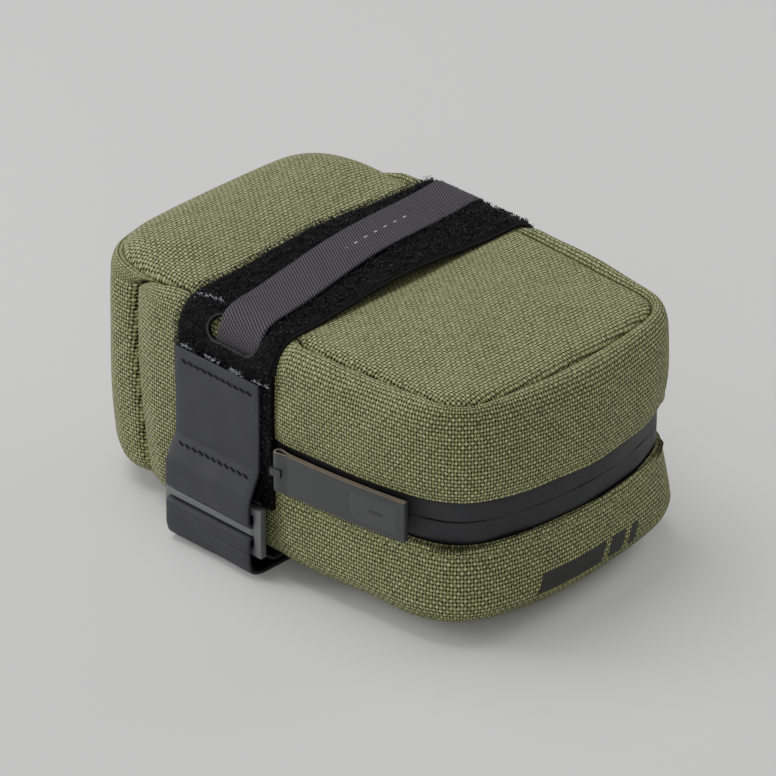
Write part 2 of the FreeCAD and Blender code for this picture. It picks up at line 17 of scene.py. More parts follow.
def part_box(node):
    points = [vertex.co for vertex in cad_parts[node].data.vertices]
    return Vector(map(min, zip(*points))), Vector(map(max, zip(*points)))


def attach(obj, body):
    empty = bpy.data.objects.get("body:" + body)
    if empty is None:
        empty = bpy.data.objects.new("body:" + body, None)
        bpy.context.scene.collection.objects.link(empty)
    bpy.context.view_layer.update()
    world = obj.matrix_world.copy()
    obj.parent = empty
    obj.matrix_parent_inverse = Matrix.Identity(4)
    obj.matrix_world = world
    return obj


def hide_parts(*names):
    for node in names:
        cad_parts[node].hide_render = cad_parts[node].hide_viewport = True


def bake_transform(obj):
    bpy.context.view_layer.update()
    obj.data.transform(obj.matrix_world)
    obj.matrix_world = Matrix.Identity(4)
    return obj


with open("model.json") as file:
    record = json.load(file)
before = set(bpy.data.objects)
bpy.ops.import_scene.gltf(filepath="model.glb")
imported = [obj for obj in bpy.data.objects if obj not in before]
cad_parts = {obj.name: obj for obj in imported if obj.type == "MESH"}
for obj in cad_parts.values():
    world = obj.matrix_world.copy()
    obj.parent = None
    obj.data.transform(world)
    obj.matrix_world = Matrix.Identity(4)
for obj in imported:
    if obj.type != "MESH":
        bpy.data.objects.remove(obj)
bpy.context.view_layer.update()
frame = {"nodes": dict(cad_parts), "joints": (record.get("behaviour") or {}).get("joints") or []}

MM = 0.001
LOG = logging.getLogger("saddle_bag")


# ---- sizes from the frame ----
def low(node: str) -> Vector:
    """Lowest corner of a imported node, in millimetres."""
    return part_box(node)[0] / MM


def high(node: str) -> Vector:
    """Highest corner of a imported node, in millimetres."""
    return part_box(node)[1] / MM


def joint(name: str) -> dict:
    """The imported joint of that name."""
    return next(j for j in frame["joints"] if j["name"] == name)


@dataclass(frozen=True)
class Datum:
    """Sizes of the bag that many pieces share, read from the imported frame, in millimetres."""

    base: float = field(default_factory=lambda: low("bottom_panel_front").z)
    top: float = field(default_factory=lambda: high("top_panel").z)
    front: float = field(default_factory=lambda: low("front_panel").x)
    rear: float = field(default_factory=lambda: high("upper_wall").x)
    hem_up: float = field(default_factory=lambda: low("upper_wall").z)
    hem_down: float = field(default_factory=lambda: high("lower_wall").z)
    seam_x: float = field(default_factory=lambda: high("front_panel").x)
    strap_edge: float = field(default_factory=lambda: high("strap_edging").x)
    strap_out: float = field(default_factory=lambda: high("pile_strap").y)
    strap_up: float = field(default_factory=lambda: high("pile_strap").z)
    strap_down: float = field(default_factory=lambda: low("pile_strap").z)
    hinge: float = field(default_factory=lambda: joint("mouth_open")["pos_m"][0] / MM)

    @property
    def zip_mid(self) -> float:
        """Height of the zip's middle."""
        return (self.hem_up + self.hem_down) / 2

    @property
    def middle(self) -> np.ndarray:
        """A place inside the bag, halfway along it at the zip's height."""
        return np.array([(self.front + self.rear) / 2, 0, self.zip_mid])


# ---- small maths ----
def ease(value: np.ndarray | float, start: float, end: float) -> np.ndarray:
    """Smooth step from 0 at start to 1 at end."""
    t = np.clip((np.asarray(value, float) - start) / (end - start), 0, 1)
    return t * t * (3 - 2 * t)


def ripple(points: np.ndarray, scale: float, seed: int, waves: int = 9) -> np.ndarray:
    """Smooth, repeatable unevenness over points in space.

    Args:
        points: Array of (..., 3) places in millimetres.
        scale: Typical distance between two crests.
        seed: Picks one pattern.
        waves: How many plane waves are added up.

    Returns:
        Values of roughly -1 to 1, one for each point.
    """
    rng = np.random.default_rng(seed)
    total = np.zeros(points.shape[:-1])
    for _ in range(waves):
        way = rng.normal(size=3)
        way *= 2 * math.pi / scale * rng.uniform(0.6, 1.5) / np.linalg.norm(way)
        total += np.sin(points @ way + rng.uniform(0, 2 * math.pi))
    return total / math.sqrt(waves)


def distances(points: np.ndarray) -> np.ndarray:
    """Distance run from the first point of a line to each of its points."""
    return np.concatenate([[0], np.cumsum(np.linalg.norm(np.diff(points, axis=0), axis=1))])


def read_off(at: np.ndarray, run: np.ndarray, values: np.ndarray) -> np.ndarray:
    """Columns of values, read off at distances along their run."""
    return np.stack([np.interp(at, run, values[:, k]) for k in range(values.shape[1])], 1)


def roll(distance: np.ndarray, radius: float) -> np.ndarray:
    """How far a cloth edge of that radius has turned in, from 1 at the seam to 0 one radius away."""
    t = np.clip(1 - np.abs(distance) / radius, 0, 1)
    return 1 - np.sqrt(1 - t * t)


# ---- meshes ----
def grid_faces(columns: int, rows: int) -> np.ndarray:
    """Quads of a grid whose vertex (i, j) has the number i * rows + j."""
    i, j = np.meshgrid(np.arange(columns - 1), np.arange(rows - 1), indexing="ij")
    a = (i * rows + j).ravel()
    return np.stack([a, a + rows, a + rows + 1, a + 1], axis=1)


def ring_faces(rings: int, around: int) -> np.ndarray:
    """Quads between rings of vertices that each close on themselves."""
    i, j = np.meshgrid(np.arange(rings - 1), np.arange(around), indexing="ij")
    a, b = (i * around + j).ravel(), (i * around + (j + 1) % around).ravel()
    return np.stack([a, b, b + around, a + around], axis=1)


def build_mesh(name: str, points: np.ndarray, faces: np.ndarray | list, uvs: np.ndarray, weld: bool = True,
               solid: bool = False) -> bpy.types.Object:
    """Makes an object from points in millimetres.

    Args:
        name: The piece's name.
        points: (n, 3) places in millimetres.
        faces: (m, 3 or 4) vertex numbers.
        uvs: (n, 2) place on the cloth in millimetres.
        weld: Whether vertices in one place are joined.
        solid: Whether the mesh is closed, so that its normals can be worked out from its shape.

    Returns:
        The object, at the origin, with its place in its mesh.
    """
    mesh = bpy.data.meshes.new(name)
    mesh.from_pydata((points * MM).tolist(), [], [list(map(int, face)) for face in faces])
    layer = mesh.uv_layers.new(name="cloth")
    order = np.zeros(len(mesh.loops), np.int32)
    mesh.loops.foreach_get("vertex_index", order)
    layer.data.foreach_set("uv", uvs[order].astype(np.float32).ravel())
    bm = bmesh.new()
    bm.from_mesh(mesh)
    if weld:
        bmesh.ops.remove_doubles(bm, verts=bm.verts, dist=2e-6)
    if solid:
        bmesh.ops.recalc_face_normals(bm, faces=bm.faces)
    bm.to_mesh(mesh)
    bm.free()
    mesh.shade_smooth()
    piece = bpy.data.objects.new(name, mesh)
    bpy.context.collection.objects.link(piece)
    return piece


def grid_mesh(name: str, points: np.ndarray, uvs: np.ndarray) -> bpy.types.Object:
    """Makes an object from a grid of points and a grid of their places on the cloth."""
    return build_mesh(name, points.reshape(-1, 3), grid_faces(*points.shape[:2]), uvs.reshape(-1, 2))


def parts_mesh(name: str, points: list, faces: list, uvs: list) -> bpy.types.Object:
    """Makes one object from the points, faces and cloth places of its parts."""
    return build_mesh(name, np.concatenate(points), np.concatenate(faces), np.concatenate(uvs))


def pick(piece: bpy.types.Object) -> None:
    """Leaves only this piece selected and active."""
    bpy.ops.object.select_all(action="DESELECT")
    piece.select_set(True)
    bpy.context.view_layer.objects.active = piece


def finish_modifier(piece: bpy.types.Object, kind: str, **settings: object) -> None:
    """Adds a modifier with those settings and applies it."""
    pick(piece)
    modifier = piece.modifiers.new(kind.lower(), kind)
    for name, value in settings.items():
        setattr(modifier, name, value)
    bpy.ops.object.modifier_apply(modifier=modifier.name)


def thicken(piece: bpy.types.Object, thickness: float) -> None:
    """Gives a cloth surface its thickness, inwards from its outer face, in millimetres."""
    finish_modifier(piece, "SOLIDIFY", thickness=thickness * MM, offset=-1.0, use_even_offset=False)


def joined_tubes(paths: list, radius: float, sides: int) -> tuple:
    """Points, faces and cloth places of many thin open tubes.

    Args:
        paths: (k, 3) point arrays, one for each tube.
        radius: Tube radius in millimetres.
        sides: Faces round each tube.

    Returns:
        Points, faces and uvs for build_mesh.
    """
    points, faces, uvs, count = [], [], [], 0
    turn = np.linspace(0, 2 * math.pi, sides, endpoint=False)
    for path in paths:
        steps = len(path)
        way = np.gradient(path, axis=0)
        way /= np.linalg.norm(way, axis=1, keepdims=True) + 1e-12
        aside = np.cross(way, np.array([0.31, 0.52, 0.79]))
        aside /= np.linalg.norm(aside, axis=1, keepdims=True) + 1e-12
        over = np.cross(way, aside)
        taper = np.ones(steps)
        taper[[0, -1]] = 0.4
        ring = (np.cos(turn)[None, :, None] * aside[:, None] + np.sin(turn)[None, :, None] * over[:, None])
        points.append((path[:, None] + ring * (radius * taper)[:, None, None]).reshape(-1, 3))
        faces.append(ring_faces(steps, sides) + count)
        ends = np.arange(sides)
        if sides == 4:
            faces.append(np.array([ends[::-1], ends + (steps - 1) * sides]) + count)
        uvs.append(np.repeat(np.stack([np.arange(steps), np.arange(steps)], 1), sides, axis=0))
        count += steps * sides
    return np.concatenate(points), np.concatenate(faces), np.concatenate(uvs).astype(float)


def tube_mesh(name: str, paths: list | np.ndarray, radius: float, sides: int) -> bpy.types.Object:
    """Makes one object of many thin open tubes."""
    return build_mesh(name, *joined_tubes(paths, radius, sides), False)


# ---- rounded paths and bands ----
def rounded_path(corners: list, radii: list, step: float = 0.8) -> np.ndarray:
    """Points along a path of straight runs joined by arcs.

    Args:
        corners: (y, z) corners, the two ends among them, in millimetres.
        radii: One arc radius for each inner corner.
        step: Rough distance between two points.

    Returns:
        (n, 2) points.
    """
    corners = [np.array(c, float) for c in corners]
    stops = [corners[0]]
    for before, here, after, radius in zip(corners, corners[1:], corners[2:], radii):
        way1, way2 = here - before, after - here
        way1, way2 = way1 / np.linalg.norm(way1), way2 / np.linalg.norm(way2)
        turn = math.acos(float(np.clip(way1 @ way2, -1, 1)))
        reach = radius * math.tan(turn / 2)
        side = np.sign(way1[0] * way2[1] - way1[1] * way2[0])
        start = here - way1 * reach
        centre = start + np.array([-way1[1], way1[0]]) * side * radius
        arm = start - centre
        count = max(4, int(radius * turn / step) + 2)
        for angle in np.linspace(0, turn * side, count):
            cos, sin = math.cos(angle), math.sin(angle)
            stops.append(centre + np.array([arm[0] * cos - arm[1] * sin, arm[0] * sin + arm[1] * cos]))
    stops.append(corners[-1])
    points = [stops[0]]
    for stop in stops[1:]:
        gap = np.linalg.norm(stop - points[-1])
        if gap < 1e-6:
            continue
        pieces = max(1, int(round(gap / step)))
        start = points[-1]
        points.extend(start + (stop - start) * k / pieces for k in range(1, pieces + 1))
    return np.array(points)


def path_sides(path: np.ndarray) -> tuple:
    """Unit normals to the left of a (y, z) path, and the distance run at each point."""
    way = np.gradient(path, axis=0)
    way /= np.linalg.norm(way, axis=1, keepdims=True)
    return np.stack([-way[:, 1], way[:, 0]], 1), distances(path)


@dataclass
class Band:
    """A flat strap that runs along a path in the Y-Z plane, with rounded long edges."""

    path: np.ndarray
    width: float
    thickness: float
    centre_x: float = 0.0
    edge: float = 0.45
    waviness: float = 0.0
    seed: int = 1
    skew: float = 0.0

    def section(self, rim: int = 4, flat: int = 14) -> np.ndarray:
        """Closed outline of the strap's section as (across, up) points."""
        half_w, half_t = self.width / 2, self.thickness / 2
        edge = min(self.edge, half_t)
        ring = []
        for corner_x, corner_z, first in ((1, 1, 0.0), (-1, 1, 0.5), (-1, -1, 1.0), (1, -1, 1.5)):
            for k in range(rim):
                angle = math.pi * (first + 0.5 * k / (rim - 1))
                ring.append((corner_x * (half_w - edge) + edge * math.cos(angle),
                             corner_z * (half_t - edge) + edge * math.sin(angle)))
            if corner_x == corner_z:
                sign = -corner_z if corner_x > 0 else 1
                level = corner_z * half_t
                ring.extend((sign * (half_w - edge) * (2 * k / flat - 1), level) for k in range(1, flat))
        return np.array(ring)

    def build(self, name: str) -> bpy.types.Object:
        """Builds the strap as one closed mesh."""
        section = self.section()
        normals, run = path_sides(self.path)
        count, around = len(self.path), len(section)
        x = self.centre_x + section[None, :, 0] + self.skew * self.path[:, :1]
        y = self.path[:, None, 0] + normals[:, None, 0] * section[None, :, 1]
        z = self.path[:, None, 1] + normals[:, None, 1] * section[None, :, 1]
        points = np.stack([x, y, z], 2)
        if self.waviness:
            shift = ripple(points * np.array([1.0, 0.2, 1.0]), 14.0, self.seed) * self.waviness
            points[..., 1] += shift * normals[:, None, 0]
            points[..., 2] += shift * normals[:, None, 1]
        uvs = np.stack([section[None, :, 0] + np.zeros((count, 1)), run[:, None] + np.zeros((1, around))], 2)
        faces = ring_faces(count, around).tolist()
        faces.append(list(range(around))[::-1])
        faces.append([(count - 1) * around + k for k in range(around)])
        return build_mesh(name, points.reshape(-1, 3), faces, uvs.reshape(-1, 2), False, True)


# ---- finishes ----
class NodeTree:
    """Short forms for building a material's or a group's nodes."""

    def __init__(self, tree: bpy.types.NodeTree) -> None:
        """Takes the tree that nodes are added to."""
        self.tree = tree

    def node(self, kind: str, **settings: object) -> bpy.types.Node:
        """Adds a node and sets its properties."""
        made = self.tree.nodes.new(kind)
        for name, value in settings.items():
            setattr(made, name, value)
        return made

    def put(self, socket: bpy.types.NodeSocket, value: object) -> None:
        """Links a socket to another one, or sets its value."""
        if isinstance(value, bpy.types.NodeSocket):
            self.tree.links.new(value, socket)
        else:
            socket.default_value = value

    def math(self, operation: str, *values: object) -> bpy.types.NodeSocket:
        """A Math node's output."""
        made = self.node("ShaderNodeMath", operation=operation)
        for socket, value in zip(made.inputs, values):
            self.put(socket, value)
        return made.outputs[0]

    def mix(self, share: object, first: object, second: object) -> bpy.types.NodeSocket:
        """Colour mix of two colours by a share."""
        made = self.node("ShaderNodeMix", data_type="RGBA")
        for socket, value in zip((made.inputs[0], made.inputs[6], made.inputs[7]), (share, first, second)):
            self.put(socket, value)
        return made.outputs[2]

    def noise(self, vector: object, scale: float, detail: float = 2.0) -> bpy.types.NodeSocket:
        """Noise value at a vector."""
        made = self.node("ShaderNodeTexNoise")
        self.put(made.inputs["Vector"], vector)
        made.inputs["Scale"].default_value = scale
        made.inputs["Detail"].default_value = detail
        return made.outputs[0]

    def place_in_mm(self) -> bpy.types.NodeSocket:
        """Place on the piece, in millimetres."""
        place = self.node("ShaderNodeVectorMath", operation="SCALE")
        self.put(place.inputs[0], self.node("ShaderNodeTexCoord").outputs["Object"])
        place.inputs["Scale"].default_value = 1 / MM
        return place.outputs[0]

    def ramp(self, value: object, start: float, end: float) -> bpy.types.NodeSocket:
        """Value mapped from start..end to 0..1 and clamped."""
        made = self.node("ShaderNodeMapRange")
        for socket, given in zip(made.inputs, (value, start, end)):
            self.put(socket, given)
        return made.outputs[0]


def new_group(name: str, inputs: dict, outputs: dict) -> tuple:
    """Makes a shader node group.

    Args:
        name: The group's name.
        inputs: Socket names and kinds.
        outputs: Socket names and kinds.

    Returns:
        The group, its NodeTree helper, its input node's outputs and its output node's inputs.
    """
    group = bpy.data.node_groups.new(name, "ShaderNodeTree")
    for way, sockets in (("INPUT", inputs), ("OUTPUT", outputs)):
        for socket, kind in sockets.items():
            group.interface.new_socket(socket, in_out=way, socket_type=kind)
    helper = NodeTree(group)
    return group, helper, helper.node("NodeGroupInput").outputs, helper.node("NodeGroupOutput").inputs


def weave_group() -> bpy.types.NodeTree:
    """Plain weave: beads of warp and weft in turn, each yarn with a tone of its own."""
    group, t, given, out = new_group(
        "plain_weave", {"Cloth": "NodeSocketVector", "Yarns": "NodeSocketVector"},
        {"Height": "NodeSocketFloat", "Tone": "NodeSocketFloat", "Warp": "NodeSocketFloat"})
    wander = t.node("ShaderNodeTexNoise")
    t.put(wander.inputs["Vector"], given["Cloth"])
    wander.inputs["Scale"].default_value = 0.35
    jitter = t.node("ShaderNodeTexNoise")
    t.put(jitter.inputs["Vector"], given["Cloth"])
    jitter.inputs["Scale"].default_value = 0.95
    near = t.node("ShaderNodeVectorMath", operation="MULTIPLY_ADD")
    t.put(near.inputs[0], jitter.outputs["Color"])
    near.inputs[1].default_value = (0.55, 0.55, 0.0)
    t.put(near.inputs[2], given["Cloth"])
    shift = t.node("ShaderNodeVectorMath", operation="MULTIPLY_ADD")
    t.put(shift.inputs[0], wander.outputs["Color"])
    shift.inputs[1].default_value = (0.5, 0.5, 0.0)
    t.put(shift.inputs[2], near.outputs[0])
    scaled = t.node("ShaderNodeVectorMath", operation="MULTIPLY")
    t.put(scaled.inputs[0], shift.outputs[0])
    t.put(scaled.inputs[1], given["Yarns"])
    apart = t.node("ShaderNodeSeparateXYZ")
    t.put(apart.inputs[0], scaled.outputs[0])
    across = [t.math("MULTIPLY", t.math("SUBTRACT", t.math("FRACT", apart.outputs[k]), 0.5), 2.0)
              for k in (0, 1)]
    number = [t.math("FLOOR", apart.outputs[k]) for k in (0, 1)]
    square = [t.math("MULTIPLY", a, a) for a in across]
    pit = t.math("MULTIPLY", square[0], square[1])
    beads = [t.math("SUBTRACT", t.math("SUBTRACT", 1.0, t.math("MULTIPLY", square[k], 0.5)),
                    t.math("ADD", t.math("MULTIPLY", square[1 - k], 0.22), t.math("MULTIPLY", pit, 0.9)))
             for k in (0, 1)]
    parity = t.math("MODULO", t.math("ABSOLUTE", t.math("ADD", number[0], number[1])), 2.0)
    t.put(out["Height"], t.math("ADD", t.math("MULTIPLY", parity, beads[1]),
                                t.math("MULTIPLY", t.math("SUBTRACT", 1.0, parity), beads[0])))
    t.put(out["Warp"], parity)
    tones = []
    for k in (0, 1):
        place = t.node("ShaderNodeCombineXYZ")
        t.put(place.inputs[k], t.math("MULTIPLY", number[k], 7.3))
        t.put(place.inputs[1 - k], t.math("MULTIPLY", apart.outputs[1 - k], 0.35))
        place.inputs[2].default_value = 11.0 * k
        tones.append(t.noise(place.outputs[0], 1.0, 3.0))
    t.put(out["Tone"], t.math("ADD", t.math("MULTIPLY", parity, tones[1]),
                              t.math("MULTIPLY", t.math("SUBTRACT", 1.0, parity), tones[0])))
    return group


def rib_group() -> bpy.types.NodeTree:
    """Fine slanted ribs, as on twill webbing."""
    group, t, given, out = new_group(
        "slanted_ribs", {"Cloth": "NodeSocketVector", "Ribs": "NodeSocketFloat", "Slant": "NodeSocketFloat"},
        {"Height": "NodeSocketFloat"})
    apart = t.node("ShaderNodeSeparateXYZ")
    t.put(apart.inputs[0], given["Cloth"])
    along = t.math("ADD", apart.outputs[1], t.math("MULTIPLY", apart.outputs[0], given["Slant"]))
    wave, cross = (t.math("SINE", t.math("MULTIPLY", t.math("MULTIPLY", way, given["Ribs"]), 2 * math.pi))
                   for way in (along, apart.outputs[0]))
    t.put(out["Height"], t.math("ADD", t.math("MULTIPLY", wave, 0.4), t.math("MULTIPLY", cross, 0.15)))
    return group


def mottle_group() -> bpy.types.NodeTree:
    """Soft blotches and fine grain, for coated cloth, moulded parts and paint."""
    group, t, given, out = new_group(
        "mottle", {"Place": "NodeSocketVector", "Blotches": "NodeSocketFloat", "Grain": "NodeSocketFloat"},
        {"Blotch": "NodeSocketFloat", "Grain": "NodeSocketFloat"})
    for name in ("Blotches", "Grain"):
        scaled = t.node("ShaderNodeVectorMath", operation="SCALE")
        t.put(scaled.inputs[0], given["Place"])
        t.put(scaled.inputs["Scale"], given[name])
        t.put(out["Blotch" if name == "Blotches" else "Grain"], t.noise(scaled.outputs[0], 1.0, 3.0))
    return group


class Groups:
    """The node groups, each built once."""

    made: dict = {}
    makers: dict = {"weave": weave_group, "ribs": rib_group, "mottle": mottle_group}

    @classmethod
    def place(cls, t: NodeTree, name: str, **values: object) -> bpy.types.Node:
        """Puts a group into a material, with its own values."""
        if name not in cls.made:
            cls.made[name] = cls.makers[name]()
        made = t.node("ShaderNodeGroup")
        made.node_tree = cls.made[name]
        for socket, value in values.items():
            t.put(made.inputs[socket], value)
        return made


def new_material(name: str) -> tuple:
    """A material with its NodeTree helper and its Principled shader."""
    material = bpy.data.materials.new(name)
    material.use_nodes = True
    return material, NodeTree(material.node_tree), material.node_tree.nodes["Principled BSDF"]


def add_bump(t: NodeTree, shader: bpy.types.Node, height: object, depth: float) -> None:
    """Feeds a height into the shader's normal, with its depth in millimetres."""
    bump = t.node("ShaderNodeBump")
    bump.inputs["Strength"].default_value = 1.0
    bump.inputs["Distance"].default_value = depth * MM
    t.put(bump.inputs["Height"], height)
    t.put(shader.inputs["Normal"], bump.outputs[0])


@dataclass(frozen=True)
class WovenFinish:
    """Melange cloth in a plain weave, with painted shade on the sides of the yarns and in the gaps between
    them.
    """

    name: str
    light: tuple
    mid: tuple
    # Colour of the painted shade in the low places between the yarns.
    dark: tuple
    yarns: tuple = (1.19, 0.90, 1.0)
    depth: float = 0.3
    melange: float = 1.3
    rough: float = 0.85

    def material(self) -> bpy.types.Material:
        """Builds the material."""
        made, t, shader = new_material(self.name)
        cloth = t.node("ShaderNodeUVMap", uv_map="cloth").outputs[0]
        weave = Groups.place(t, "weave", Cloth=cloth, Yarns=self.yarns)
        blotch = Groups.place(t, "mottle", Place=cloth, Blotches=0.06, Grain=1.7)
        spread = t.math("MULTIPLY", t.math("SUBTRACT", weave.outputs["Tone"], 0.5), self.melange)
        share = t.math("ADD", t.math("MULTIPLY", weave.outputs["Warp"], 0.45), t.math("ADD", spread, 0.27))
        lit = t.mix(share, self.mid + (1.0,), self.light + (1.0,))
        # Painted shade: the lower the weave's height, the nearer the colour comes to the dark one, so the
        # yarns' sides and the gaps between them are shaded in paint.
        shaded = t.mix(t.ramp(weave.outputs["Height"], 0.28, 1.0), self.dark + (1.0,), lit)
        worn = t.node("ShaderNodeHueSaturation")
        t.put(worn.inputs["Value"], t.math("ADD", 0.88, t.math("MULTIPLY", blotch.outputs["Blotch"], 0.24)))
        t.put(worn.inputs["Color"], shaded)
        t.put(shader.inputs["Base Color"], worn.outputs[0])
        shader.inputs["Roughness"].default_value = self.rough
        shader.inputs["Sheen Weight"].default_value = 0.04
        shader.inputs["Sheen Roughness"].default_value = 0.6
        shader.inputs["Specular IOR Level"].default_value = 0.12
        add_bump(t, shader, t.math("ADD", weave.outputs["Height"],
                                   t.math("MULTIPLY", blotch.outputs["Grain"], 0.15)), self.depth)
        return made


@dataclass(frozen=True)
class CoatedFinish:
    """Smooth coated cloth, moulded plastic or paint: one colour with soft blotches and a fine grain."""

    name: str
    colour: tuple
    rough: float = 0.45
    metal: float = 0.0
    blotch: float = 0.12
    grain_depth: float = 0.02
    grain: float = 6.0
    level: float = 0.5

    def material(self) -> bpy.types.Material:
        """Builds the material."""
        made, t, shader = new_material(self.name)
        mottle = Groups.place(t, "mottle", Place=t.place_in_mm(), Blotches=0.12, Grain=self.grain)
        tinted = t.node("ShaderNodeHueSaturation")
        tinted.inputs["Color"].default_value = self.colour + (1.0,)
        spread = t.math("MULTIPLY", t.math("SUBTRACT", mottle.outputs["Blotch"], 0.5), 2 * self.blotch)
        t.put(tinted.inputs["Value"], t.math("ADD", 1.0, spread))
        t.put(shader.inputs["Base Color"], tinted.outputs[0])
        t.put(shader.inputs["Roughness"], t.math("ADD", self.rough, t.math("MULTIPLY", spread, 0.4)))
        shader.inputs["Metallic"].default_value = self.metal
        shader.inputs["Specular IOR Level"].default_value = self.level
        add_bump(t, shader, mottle.outputs["Grain"], self.grain_depth)
        return made


@dataclass(frozen=True)
class RibbedFinish:
    """Webbing with fine slanted ribs, with painted shade in the valleys between the ribs."""

    name: str
    colour: tuple
    # Colour of the painted shade between the ribs; random blotches also darken towards it.
    dark: tuple
    ribs: float = 1.6
    slant: float = 0.6
    depth: float = 0.12
    rough: float = 0.6

    def material(self) -> bpy.types.Material:
        """Builds the material."""
        made, t, shader = new_material(self.name)
        cloth = t.node("ShaderNodeUVMap", uv_map="cloth").outputs[0]
        ribs = Groups.place(t, "ribs", Cloth=cloth, Ribs=self.ribs, Slant=self.slant)
        blotch = Groups.place(t, "mottle", Place=cloth, Blotches=0.15, Grain=3.0)
        # Painted shade: the valleys between the ribs take the dark colour and the rib tops the cloth's own;
        # random blotches then darken it a little.
        lit = t.mix(t.ramp(ribs.outputs[0], -0.45, 0.35), self.dark + (1.0,), self.colour + (1.0,))
        t.put(shader.inputs["Base Color"], t.mix(t.math("MULTIPLY", blotch.outputs["Blotch"], 0.3), lit,
                                                 self.dark + (1.0,)))
        shader.inputs["Roughness"].default_value = self.rough
        shader.inputs["Specular IOR Level"].default_value = 0.2
        add_bump(t, shader, ribs.outputs[0], self.depth)
        return made


@dataclass(frozen=True)
class PileFinish:
    """Looped pile and its fibres: very dark, with a glint here and there."""

    name: str
    colour: tuple
    glint: tuple
    rough: float = 0.5
    depth: float = 0.5

    def material(self) -> bpy.types.Material:
        """Builds the material."""
        made, t, shader = new_material(self.name)
        mottle = Groups.place(t, "mottle", Place=t.place_in_mm(), Blotches=0.9, Grain=3.2)
        glints = t.ramp(mottle.outputs["Grain"], 0.52, 0.72)
        t.put(shader.inputs["Base Color"], t.mix(glints, self.colour + (1.0,), self.glint + (1.0,)))
        shader.inputs["Roughness"].default_value = self.rough
        shader.inputs["Specular IOR Level"].default_value = 0.14
        add_bump(t, shader, t.math("ADD", mottle.outputs["Grain"], mottle.outputs["Blotch"]), self.depth)
        return made


class Finish(Enum):
    """Every finish of the bag."""

    # The third colour of each woven finish and the dark colour of each ribbed finish are painted shade
    # between the yarns or the ribs.
    OLIVE = WovenFinish("olive_melange", (0.440, 0.486, 0.240), (0.125, 0.150, 0.060), (0.001, 0.002, 0.001))
    LINING = WovenFinish("grey_lining", (0.10, 0.10, 0.105), (0.075, 0.075, 0.08), (0.03, 0.03, 0.03),
                         (3.0, 3.0, 1.0), 0.08)
    FOAM = CoatedFinish("black_foam", (0.035, 0.035, 0.036), 0.9, 0.0, 0.2, 0.12, 2.5)
    BOARD = CoatedFinish("stiff_board", (0.03, 0.03, 0.03), 0.6)
    BINDING = RibbedFinish("binding_tape", (0.045, 0.045, 0.047), (0.02, 0.02, 0.02), 1.2, 0.0)
    TAPE = CoatedFinish("coated_zip_tape", (0.020, 0.020, 0.0225), 0.62, 0.0, 0.16, 0.05, 3.2, 0.35)
    COIL = CoatedFinish("zip_coil", (0.03, 0.03, 0.03), 0.35)
    METAL = CoatedFinish("black_slider_metal", (0.05, 0.05, 0.052), 0.35, 0.6, 0.08)
    PULL = CoatedFinish("coated_pull", (0.027, 0.028, 0.029), 0.48, 0.0, 0.14, 0.03, 3.5)
    PULL_PANEL = CoatedFinish("pull_panel", (0.036, 0.037, 0.039), 0.5, 0.0, 0.10, 0.03, 3.5)
    PULL_MARK = CoatedFinish("pull_mark", (0.016, 0.016, 0.017), 0.55)
    RAW_EDGE = CoatedFinish("raw_cut_edge", (0.16, 0.125, 0.085), 0.8, 0.0, 0.3)
    PILE = PileFinish("black_pile", (0.002, 0.002, 0.002), (0.010, 0.010, 0.011))
    FIBRE = PileFinish("pile_loops", (0.003, 0.003, 0.003), (0.170, 0.170, 0.180), 0.35, 0.05)
    EDGING = RibbedFinish("smooth_edging", (0.012, 0.012, 0.013), (0.003, 0.003, 0.003), 1.4, 0.3, 0.1, 0.8)
    STRAP = CoatedFinish("coated_strap", (0.025, 0.025, 0.030), 0.58, 0.0, 0.10, 0.025, 3.0, 0.35)
    THREAD = RibbedFinish("black_thread", (0.022, 0.022, 0.023), (0.006, 0.006, 0.006), 3.0, 1.0, 0.05)
    TOP_THREAD = RibbedFinish("olive_thread", (0.34, 0.37, 0.20), (0.20, 0.22, 0.11), 3.0, 1.0, 0.05)
    FRAY = CoatedFinish("frayed_yarn", (0.42, 0.42, 0.46), 0.8, 0.0, 0.3)
    BUCKLE = CoatedFinish("satin_buckle", (0.105, 0.106, 0.110), 0.40, 0.2, 0.06, 0.01)
    HOOK = PileFinish("hook_tape", (0.010, 0.010, 0.010), (0.03, 0.03, 0.03))
    WEBBING = RibbedFinish("rail_webbing", (0.100, 0.092, 0.106), (0.003, 0.003, 0.003), 1.05, 0.6, 0.3)
    PRINT = CoatedFinish("dark_print", (0.014, 0.015, 0.013), 0.6, 0.0, 0.15)
    TICK = CoatedFinish("pale_tick", (0.33, 0.33, 0.35), 0.7, 0.0, 0.2)

    def material(self) -> bpy.types.Material:
        """The finish's material, built once under a name that no packed material has."""
        label = f"{self.value.name}_finish"
        if label not in bpy.data.materials:
            self.value.material().name = label
        return bpy.data.materials[label]


def dress(piece: bpy.types.Object, finish: Finish, slot: str, body: str | None = "bag", *nodes: str) -> None:
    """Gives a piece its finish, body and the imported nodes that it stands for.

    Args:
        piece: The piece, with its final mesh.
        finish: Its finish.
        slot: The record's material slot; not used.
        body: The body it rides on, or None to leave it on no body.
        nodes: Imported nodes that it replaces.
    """
    if not piece.data.materials:
        piece.data.materials.append(finish.material())
    if nodes:
        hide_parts(*nodes)
    if body:
        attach(piece, body)
    LOG.info("%s: %d faces on %s", piece.name, len(piece.data.polygons), body or "the hinge")


# ---- the bag's outline ----
def node_tree(*names: str) -> BVHTree:
    """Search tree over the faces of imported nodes, in metres."""
    places, polygons = [], []
    for name in names:
        mesh = frame["nodes"][name].data
        polygons.extend([len(places) + v for v in face.vertices] for face in mesh.polygons)
        places.extend(vertex.co.copy() for vertex in mesh.vertices)
    return BVHTree.FromPolygons(places, polygons)


